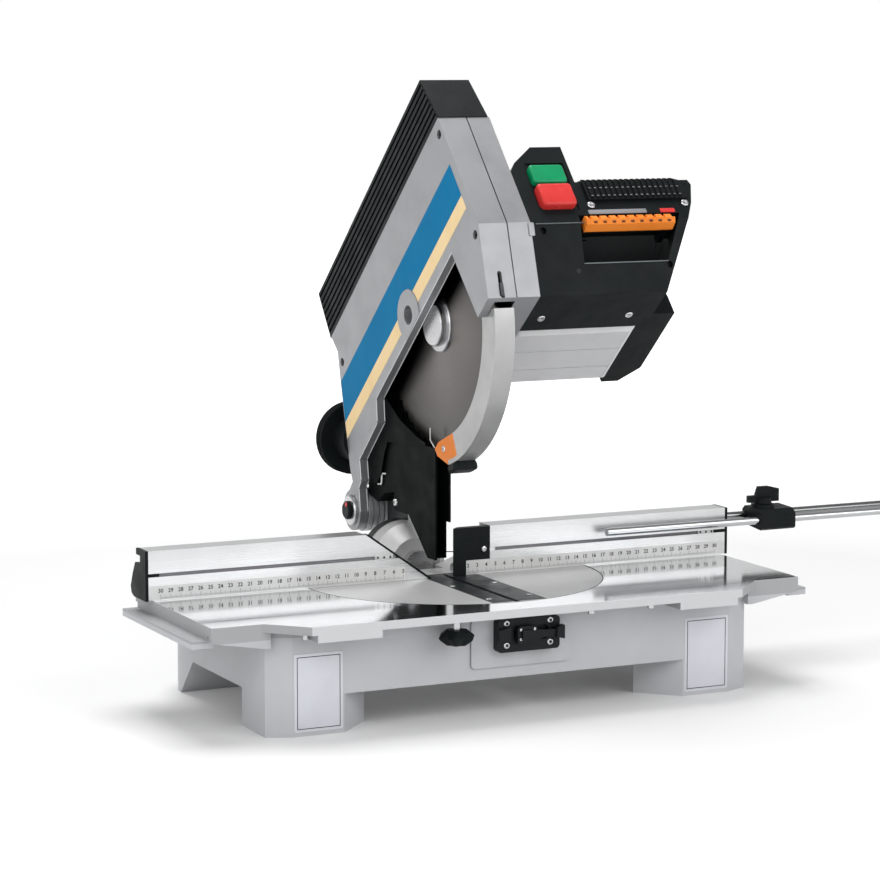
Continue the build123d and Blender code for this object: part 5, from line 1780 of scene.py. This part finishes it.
@dataclass
class TriggerMarks(SubAssembly):
    """Small dark patches in a row along the trigger's lip: painted shade in its notches."""

    lip_low: Point2 = (162.0, -9.5)
    lip_high: Point2 = (164.8, -5.0)
    first: float = 101.5
    step: float = 10.0
    count: int = 9
    half_width: float = 2.0
    rise: Point2 = (1.0, 3.4)
    corner: float = 0.9
    sunk: float = 0.2
    proud: float = 0.25
    bevel: float = 0.1

    def build(self) -> None:
        """Makes the row of painted shade."""
        box = (self.first - self.half_width, self.first + self.half_width, *self.rise)
        outline = rounded_outline(*box, self.corner, 3)
        mark = Draft()
        mark.prism(edge_face(self.lip_low, self.lip_high), outline, -self.sunk, self.proud, self.bevel)
        row = self.shop.row(mark.finish("mark"), self.count, self.step, "brown_mark")
        self.shop.piece("trigger_marks", row, "brown_mark", Body.TRIGGER, Slot.ORANGE)


@dataclass
class ArmTrim(SubAssembly):
    """End plates of the ribbed rear cover, painted highlights along the rim, and a sheet towards the chute.
    """

    sides: Point2 = (-20.0, 32.5)
    front_end: tuple[Point2, Point2] = ((161.0, ARM_TOP), (153.0, 180.0))
    rear_end: tuple[Point2, Point2] = ((-188.0, ARM_TOP), (-182.0, 180.0))
    end_low: float = -1.4
    end_high: float = 0.1
    # Painted highlights: bright wires along the lit edges of the covers' rim.
    edge: tuple[Point2, ...] = (
        (97, 12), (-137, 12), (-152, -8), (-213, -10), (-225, -29), (-234, -30.5), (-248, -51)
    )
    edge_sides: Point2 = (-19.8, -11.5)
    edge_radius: float = 0.5
    edge_bend: float = 2.0
    # A black sheet that closes the view between arm and chute; partly it stands for the shade there.
    sheet_x: float = -10.75
    sheet_thick: float = 0.4
    sheet: tuple[Point2, ...] = (
        (32, 235.5), (32, 233.4), (122, 226), (129, 214), (138, 190), (148, 181), (166, 177), (188, 176),
        (160, 216), (140, 264), (128, 272), (92, 252), (50, 239),
    )

    def build(self) -> None:
        """Makes the end plates, the painted highlights along the rim and the sheet."""
        plates = Draft()
        for (low, high), way in ((self.front_end, 1), (self.rear_end, -1)):
            span = sorted(way * x for x in self.sides)
            outline = box_outline(*span, 0, math.dist(low, high))
            plates.prism(edge_face(low, high, way), outline, self.end_low, self.end_high)
        self.shop.piece("rear_cover_ends", plates, "black_plastic", Body.HEAD, Slot.BLACK)
        edges = Draft()
        for x in self.edge_sides:
            side = arm_face(x)
            corners = [side.origin + side.across * s + side.up * t for s, t in self.edge]
            edges.wire(bent_path(corners, self.edge_bend, 2), self.edge_radius, 8)
        self.shop.piece("rim_edges", edges, "motor_light", Body.HEAD, Slot.SHELL)
        sheet = Draft()
        outline = [(-y, z) for y, z in reversed(self.sheet)]
        sheet.prism(left_face(self.sheet_x), outline, 0, self.sheet_thick)
        self.shop.piece("arm_sheet", sheet, "chute_black", Body.HEAD, Slot.BLACK)


@dataclass
class FenceFittings(SubAssembly):
    """Painted shade in the fence's groove, its plugs and sliders, painted shade in the disc's gap, and studs
    under the nose.
    """

    groove_depth: float = 3.3
    # Painted shade: grey bars low in the groove darken it between the plugs and sliders.
    liner_depth: float = 2.2
    liners: tuple[Point2, ...] = ((-301.0, -80.0), (-61.0, -58.5), (52.0, 281.0))
    plugs: tuple[Point2, ...] = ((-311.8, -301.2), (299.2, 311.8))
    sliders: tuple[Point2, ...] = ((-80.0, -61.0), (281.0, 298.6))
    proud: float = 0.25
    bevel: float = 0.3
    dot_step: float = 6.6
    dot_count: int = 3
    dot_profile: tuple[Point2, ...] = ((0, 0.2), (1.2, 0.2), (1.0, 0.5), (0, 0.5))
    nose_underside: float = 99.0
    studs: tuple[Point2, ...] = ((-223.0, 165.0), (67.7, 165.0), (132.0, 165.0))
    stud_profile: tuple[Point2, ...] = (
        (0, 0), (4.6, 0), (4.6, 1.4), (3.4, 2.0), (3.4, 5.8), (2.6, 6.6), (0, 6.6)
    )
    # Painted shade: a black ring in the gap round the disc.
    seam_profile: tuple[Point2, ...] = ((149.3, -0.8), (150.3, -0.8), (150.3, 0.04), (149.3, 0.04))

    def _bars(self, spans: Sequence[Point2], height: float, bevel: float = 0.0) -> Draft:
        """Bars that fill spans of the groove.

        Args:
            spans: Left and right end of each bar.
            height: Height of the bars over the fence.
            bevel: Width of the bevel round their faces.

        Returns:
            The draft with the bars.
        """
        draft = Draft()
        for left, right in spans:
            draft.prism(FENCE, box_outline(left, right, *GROOVE), -self.groove_depth, height, bevel)
        return draft

    def _dots(self) -> Draft:
        """A row of dots on each slider.

        Returns:
            The draft with the dots.
        """
        dots = Draft()
        for left, right in self.sliders:
            place = ((left + right) / 2 - self.dot_step, sum(GROOVE) / 2)
            unit = Draft()
            unit.turn(FENCE, place, self.dot_profile, 16)
            dots.add(self.shop.row(unit.finish("dot"), self.dot_count, self.dot_step, "ink_black"))
        return dots

    def build(self) -> None:
        """Makes the painted shade in the groove, the plugs, the sliders with their dots, the studs and the
        shade in the disc's gap.
        """
        piece = self.shop.piece
        # Painted shade in the groove.
        liners = self._bars(self.liners, -self.liner_depth)
        piece("groove_liners", liners, "strip_grey", Body.BASE, Slot.POLISHED)
        plugs = self._bars(self.plugs, self.proud, self.bevel)
        piece("groove_plugs", plugs, "black_plastic", Body.BASE, Slot.BLACK)
        sliders = self._bars(self.sliders, self.proud, self.bevel)
        piece("groove_sliders", sliders, "tape_white", Body.BASE, Slot.RULE)
        piece("slider_dots", self._dots(), "ink_black", Body.BASE, Slot.BLACK)
        studs = Draft()
        for place in self.studs:
            studs.turn(level_face(self.nose_underside, False), place, self.stud_profile, 24)
        piece("nose_studs", studs, STEEL, Body.BASE, Slot.SCREW)
        # Painted shade in the disc's gap.
        seam = Draft()
        seam.turn(level_face(TABLE_TOP, True), (0.0, 0.0), self.seam_profile, 160, ring=True)
        piece("disc_seam", seam, "ink_black", Body.BASE, Slot.BLACK)


@dataclass
class PivotTrim(SubAssembly):
    """Dot on the pivot's cap, hook and bolt of the chute, wire of the guard, pins of the index lever."""

    cap_face: float = -28.0
    dot: Point2 = (-187.4, 154.4)
    dot_profile: tuple[Point2, ...] = ((0, -0.2), (2.6, -0.2), (2.2, 0.4), (0, 0.5))
    hook_x: float = -9.2
    hook: tuple[Point2, ...] = ((127.4, 193.0), (138.7, 192.0), (138.8, 181.0), (147.9, 180.0))
    hook_bend: float = 3.5
    hook_radius: float = 1.4
    chute_face: float = -8.0
    bolt: Point2 = (-107.4, 166.5)
    bolt_head: Size3 = (4.0, 2.4, 2.0)
    wire_x: float = -9.4
    wire: tuple[Point2, ...] = ((24.4, 251.5), (24.0, 239.0), (14.2, 233.0))
    wire_bend: float = 2.0
    wire_radius: float = 0.7
    lever_face: float = -165.0
    pins: tuple[Point2, ...] = ((-6.2, 83.4), (-6.2, 74.4), (8.2, 83.4))
    pin_head: Size3 = (1.5, 0.9, 0.7)

    @staticmethod
    def bent(x: float, corners: Sequence[Point2], bend: float, radius: float) -> Draft:
        """A bent wire in a plane square to X.

        Args:
            x: Place of the plane.
            corners: (Y, Z) of the wire's corners.
            bend: Length that each bend takes from both sides of its corner.
            radius: Radius of the wire.

        Returns:
            The draft with the wire.
        """
        draft = Draft()
        draft.wire(bent_path([Vector((x, y, z)) for y, z in corners], bend), radius)
        return draft

    def build(self) -> None:
        """Makes each of them."""
        shop = self.shop
        dot = Draft()
        dot.turn(left_face(self.cap_face), self.dot, self.dot_profile, 20)
        shop.piece("pivot_dot", dot, "red_plastic", Body.TILT, Slot.RED)
        hook = self.bent(self.hook_x, self.hook, self.hook_bend, self.hook_radius)
        shop.piece("chute_hook", hook, STEEL, Body.TILT, Slot.STEEL)
        head = screw_mesh(*self.bolt_head)
        bolt = shop.field(head, left_face(self.chute_face), [self.bolt], 0.0, STEEL)
        shop.piece("chute_bolt", bolt, STEEL, Body.TILT, Slot.SCREW)
        wire = self.bent(self.wire_x, self.wire, self.wire_bend, self.wire_radius)
        shop.piece("guard_wire", wire, "tape_white", Body.GUARD, Slot.STEEL)
        head = screw_mesh(*self.pin_head)
        pins = shop.field(head, cross_face(self.lever_face), self.pins, 0.0, STEEL)
        shop.piece("lever_pins", pins, STEEL, Body.LEVER, Slot.SCREW)


@dataclass
class PivotStack(SubAssembly):
    """Bracket of the chop pivot in place of the plain one: flange, post, link and barrel of discs."""

    flange_front: float = 112.5
    flange_thick: float = 13.5
    flange_radius: float = 40.0
    left: float = -10.5
    link_left: float = 8.0
    right: float = 17.5
    bevel: float = 0.6
    post: tuple[Point2, ...] = ((112.5, 74), (150, 74), (150, 124), (112.5, 124))
    link: tuple[Point2, ...] = (
        (112.5, 124), (150, 124), (171, 127), (170, 164), (152, 160), (136, 171), (112.5, 176)
    )
    pivot: Point2 = (-190.0, 148.0)
    disc_radius: float = 22.4
    core_radius: float = 19.4
    lug_radius: float = 21.0
    bolt_radius: float = 7.2
    spring_room: Point2 = (18.0, 12.5)
    disc_first: float = 11.4
    disc_step: float = 5.9
    disc_width: float = 4.6
    disc_count: int = 3
    taper: float = 0.3
    lug_taper: float = 0.4

    def barrel(self) -> list[Point2]:
        """Ring profile of the barrel, (radius, height) from its right end.

        Returns:
            The profile's points.
        """
        room, room_deep = self.spring_room
        length = self.right - self.left
        lug = self.right - self.link_left
        points = [(room, 0), (self.lug_radius, 0), (self.lug_radius, lug)]
        points.append((self.core_radius, lug + self.lug_taper))
        for i in range(self.disc_count):
            low = self.disc_first + self.disc_step * i
            high = min(low + self.disc_width, length - self.taper)
            points += [(self.core_radius, low - self.taper), (self.disc_radius, low)]
            points += [(self.disc_radius, high), (self.core_radius, high + self.taper)]
        return points + [(self.bolt_radius, length), (self.bolt_radius, room_deep), (room, room_deep)]

    def build(self) -> None:
        """Makes the bracket."""
        thick, radius = self.flange_thick, self.flange_radius
        draft = Draft()
        rim = [(0, -thick), (radius, -thick), (radius, 0), (0, 0)]
        draft.turn(cross_face(self.flange_front), (0.0, TABLE_TOP), rim, 96)
        side = left_face(self.right)
        for outline, start in ((self.post, self.left), (self.link, self.link_left)):
            turned = [(-y, z) for y, z in reversed(outline)]
            draft.prism(side, turned, 0, self.right - start, self.bevel)
        draft.turn(side, self.pivot, self.barrel(), 64, ring=True)
        place = (Body.TILT, Slot.TURNTABLE, ["tilt_bracket"])
        self.shop.piece("pivot_bracket", draft, "cast_grey", *place, smooth=30.0)


@dataclass
class PortLip(SubAssembly):
    """Rounded beads on the rim of the dust port."""

    rear: float = 243.0
    height: float = 217.0
    radius: float = 37.0
    beads: tuple[float, ...] = (1.6, 7.0, 12.4)
    sunk: float = 0.4
    proud: float = 0.9
    foot_half: float = 1.4
    top_half: float = 0.6

    def build(self) -> None:
        """Makes the beads."""
        foot, top = self.radius - self.sunk, self.radius + self.proud
        a, b = self.foot_half, self.top_half
        draft = Draft()
        for place in self.beads:
            profile = [(foot, place - a), (top, place - b), (top, place + b), (foot, place + a)]
            draft.turn(cross_face(self.rear), (0.0, self.height), profile, 72, ring=True)
        self.shop.piece("port_beads", draft, "black_rubber", Body.HEAD, Slot.BLACK, smooth=50.0)


@dataclass
class FlangeCap(SubAssembly):
    """Turned outer flange with a smooth centre, as it shows beside the cover."""

    blade_face: float = -1.2
    profile: tuple[Point2, ...] = (
        (0, 0), (27, 0), (27, 2.0), (26.2, 2.8), (21.4, 3.3), (20.8, 8.4), (19.8, 9.3), (0, 9.3)
    )

    def build(self) -> None:
        """Makes the flange with its nut cover."""
        draft = Draft()
        draft.turn(arm_face(self.blade_face), (0.0, 0.0), self.profile, 72)
        replaced = ["outer_flange", "arbor_nut"]
        self.shop.piece("flange_cap", draft, "flange_steel", Body.BLADE, Slot.STEEL, replaced, smooth=24.0)


@dataclass
class FrontTrim(SubAssembly):
    """Lens-shaped lobed lock knob on a bright stud, and painted shade along the seam round the front panel.
    """

    knob: Point2 = (-74.0, -168.0)
    knob_middle: float = 83.0
    knob_profile: tuple[Point2, ...] = (
        (0, -7), (9, -7), (15.2, -1.8), (16, 0), (15.2, 1.8), (9, 7), (0, 7)
    )
    lobes: int = 6
    lobe_rise: float = 0.12
    stud_radius: float = 3.7
    stud_top: float = 103.9
    # Painted shade: a grey line for the shade in the seam round the front panel.
    seam: Box = (-50.6, 54.6, 46.4, 93.6)
    seam_corner: float = 4.6
    seam_thick: float = 0.1

    def build(self) -> None:
        """Makes the knob, its stud and the painted shade of the seam."""
        piece = self.shop.piece
        level = level_face(self.knob_middle, True)
        knob = Draft()
        lobed = dict(segments=12 * self.lobes, lobes=self.lobes, rise=self.lobe_rise)
        knob.turn(level, self.knob, self.knob_profile, **lobed)
        piece("knob_cap", knob, "black_plastic", Body.KNOB, Slot.BLACK, ["lock_knob"])
        radius, height = self.stud_radius, self.stud_top - self.knob_middle
        stud = Draft()
        stud.turn(level, self.knob, [(0, 0), (radius, 0), (radius, height), (0, height)], 24)
        piece("knob_stud", stud, STEEL, Body.KNOB, Slot.SCREW)
        # Painted shade along the panel's seam.
        seam = Draft()
        outline = rounded_outline(*self.seam, self.seam_corner)
        seam.prism(cross_face(FRONT_WALL), outline, 0, self.seam_thick)
        piece("panel_seam", seam, "strip_grey", Body.BASE, Slot.BASE_GREY)


@dataclass(frozen=True)
class Lamp:
    """A soft area lamp aimed at the machine, in metres and watts."""

    name: str
    place: Size3
    size: float
    power: float


class Studio:
    """Floor, light, world and camera."""

    WHITE = (1.0, 1.0, 1.0, 1.0)
    CAMERA_PLACE = Vector((-1.24738, -2.58464, 0.61407))
    CAMERA_YAW = math.radians(25.573)
    CAMERA_PITCH = math.radians(-7.392)
    LENS = 121.72
    SENSOR = 36.0
    CLIP = (0.05, 50.0)
    AIM = Vector((0.0, 0.0, 0.25))
    LAMPS = (
        Lamp("key_box", (1.2, -2.4, 1.5), 2.0, 30.0),
        Lamp("left_box", (-2.4, -1.5, 1.7), 2.0, 30.0),
        Lamp("top_box", (0.0, 0.5, 2.4), 1.6, 42.0),
    )
    FILL = 0.38
    # Height of the direction looked in, and level of the sky there
    SKY = ((0.0, 1.0), (0.03, 1.0), (0.15, 0.78), (0.5, 0.5), (1.0, 0.36))
    FLOOR_SIZE = 14.0
    FLOOR_TONE = (0.82, 0.82, 0.82, 1.0)
    FLOOR_ROUGHNESS = 0.9
    # Distance from the middle and glow of the floor, near the machine and where it is white
    FLOOR_NEAR = (0.9, 0.06)
    FLOOR_FAR = (2.6, 1.0)

    def build(self) -> None:
        """Makes the whole stage."""
        self._world()
        self._floor()
        for lamp in self.LAMPS:
            self._lamp(lamp)
        self._camera()
        bpy.context.scene.view_settings.view_transform = "Standard"

    @staticmethod
    def _seen(tree: Tree) -> Socket:
        """Adds nodes that give 1 for camera, glossy and transmission rays.

        Args:
            tree: The node tree.

        Returns:
            The socket of that value.
        """
        path = tree.nodes.new("ShaderNodeLightPath").outputs
        first = number_step(tree, "MAXIMUM", path["Is Camera Ray"], path["Is Glossy Ray"])
        return number_step(tree, "MAXIMUM", first, path["Is Transmission Ray"])

    def _world(self) -> None:
        """White where it is seen or mirrored, falling off overhead, and a softer fill for the rest."""
        world = bpy.data.worlds.new("studio")
        bpy.context.scene.world = world
        world.use_nodes = True
        tree = world.node_tree
        ground = tree.nodes["Background"]
        ground.inputs["Color"].default_value = self.WHITE
        way = tree.nodes.new("ShaderNodeTexCoord")
        split = tree.nodes.new("ShaderNodeSeparateXYZ")
        tree.links.new(way.outputs["Generated"], split.inputs["Vector"])
        sky = tree.nodes.new("ShaderNodeValToRGB")
        stops = sky.color_ramp.elements
        while len(stops) < len(self.SKY):
            stops.new(0.5)
        for stop, (height, level) in zip(stops, self.SKY):
            stop.position = height
            stop.color = (level, level, level, 1.0)
        tree.links.new(split.outputs["Z"], sky.inputs["Fac"])
        strength = tree.nodes.new("ShaderNodeMix")
        strength.inputs["A"].default_value = self.FILL
        tree.links.new(self._seen(tree), strength.inputs["Factor"])
        tree.links.new(sky.outputs["Color"], strength.inputs["B"])
        tree.links.new(strength.outputs["Result"], ground.inputs["Strength"])

    def _floor_paint(self) -> bpy.types.Material:
        """A pale matt paint that glows more and more away from the middle.

        Returns:
            The material.
        """
        material = bpy.data.materials.new("floor_white")
        material.use_nodes = True
        tree = material.node_tree
        shader = tree.nodes["Principled BSDF"]
        shader.inputs["Base Color"].default_value = self.FLOOR_TONE
        shader.inputs["Roughness"].default_value = self.FLOOR_ROUGHNESS
        shader.inputs["Specular IOR Level"].default_value = 0.0
        shader.inputs["Emission Color"].default_value = self.WHITE
        (near, dim), (far, bright) = self.FLOOR_NEAR, self.FLOOR_FAR
        away = vector_step(tree, "LENGTH", object_place(tree)).outputs["Value"]
        spread = ramp(tree, away, near, far)
        spread.inputs["To Min"].default_value = dim
        spread.inputs["To Max"].default_value = bright
        glow = number_step(tree, "MULTIPLY", self._seen(tree), spread.outputs["Result"])
        tree.links.new(glow, shader.inputs["Emission Strength"])
        return material

    def _floor(self) -> None:
        """A floor that keeps the shadow and runs out into white."""
        half, level = self.FLOOR_SIZE / 2, CAD_BOX[0].z
        corners = [(x, y, level) for x, y in box_outline(-half, half, -half, half)]
        mesh = bpy.data.meshes.new("floor")
        mesh.from_pydata(corners, [], [(0, 1, 2, 3)])
        mesh.materials.append(self._floor_paint())
        floor = bpy.data.objects.new("floor", mesh)
        bpy.context.scene.collection.objects.link(floor)

    def _lamp(self, lamp: Lamp) -> None:
        """Places one lamp and turns it to the machine.

        Args:
            lamp: The lamp.
        """
        data = bpy.data.lights.new(lamp.name, "AREA")
        data.shape = "SQUARE"
        data.size = lamp.size
        data.energy = lamp.power
        thing = bpy.data.objects.new(lamp.name, data)
        thing.location = lamp.place
        thing.rotation_euler = (self.AIM - Vector(lamp.place)).to_track_quat("-Z", "Y").to_euler()
        bpy.context.scene.collection.objects.link(thing)

    def _camera(self) -> None:
        """Places the camera at the photograph's viewing angle."""
        data = bpy.data.cameras.new("camera")
        data.lens = self.LENS
        data.sensor_width = self.SENSOR
        data.clip_start, data.clip_end = self.CLIP
        camera = bpy.data.objects.new("camera", data)
        camera.location = self.CAMERA_PLACE
        camera.rotation_euler = (math.pi / 2 + self.CAMERA_PITCH, 0.0, -self.CAMERA_YAW)
        bpy.context.scene.collection.objects.link(camera)
        bpy.context.scene.camera = camera


def main() -> None:
    """Dresses the frame, builds the sub-assemblies in order and sets the stage."""
    logging.basicConfig(level=logging.INFO, format="%(name)s: %(message)s")
    finishes = FinishSet()
    finishes.dress_nodes()
    shop = Workshop(finishes)
    kinds = (
        Rules, Plates, CoverBand, Fasteners, HandleTrim, Buttons, TriggerMarks, ArmTrim, FenceFittings,
        PivotTrim, PivotStack, PortLip, FlangeCap, FrontTrim,
    )
    for kind in kinds:
        kind(shop).build()
    Studio().build()
    LOG.info("%d pieces added", len(shop.pieces))


if __name__ == "__main__":
    main()
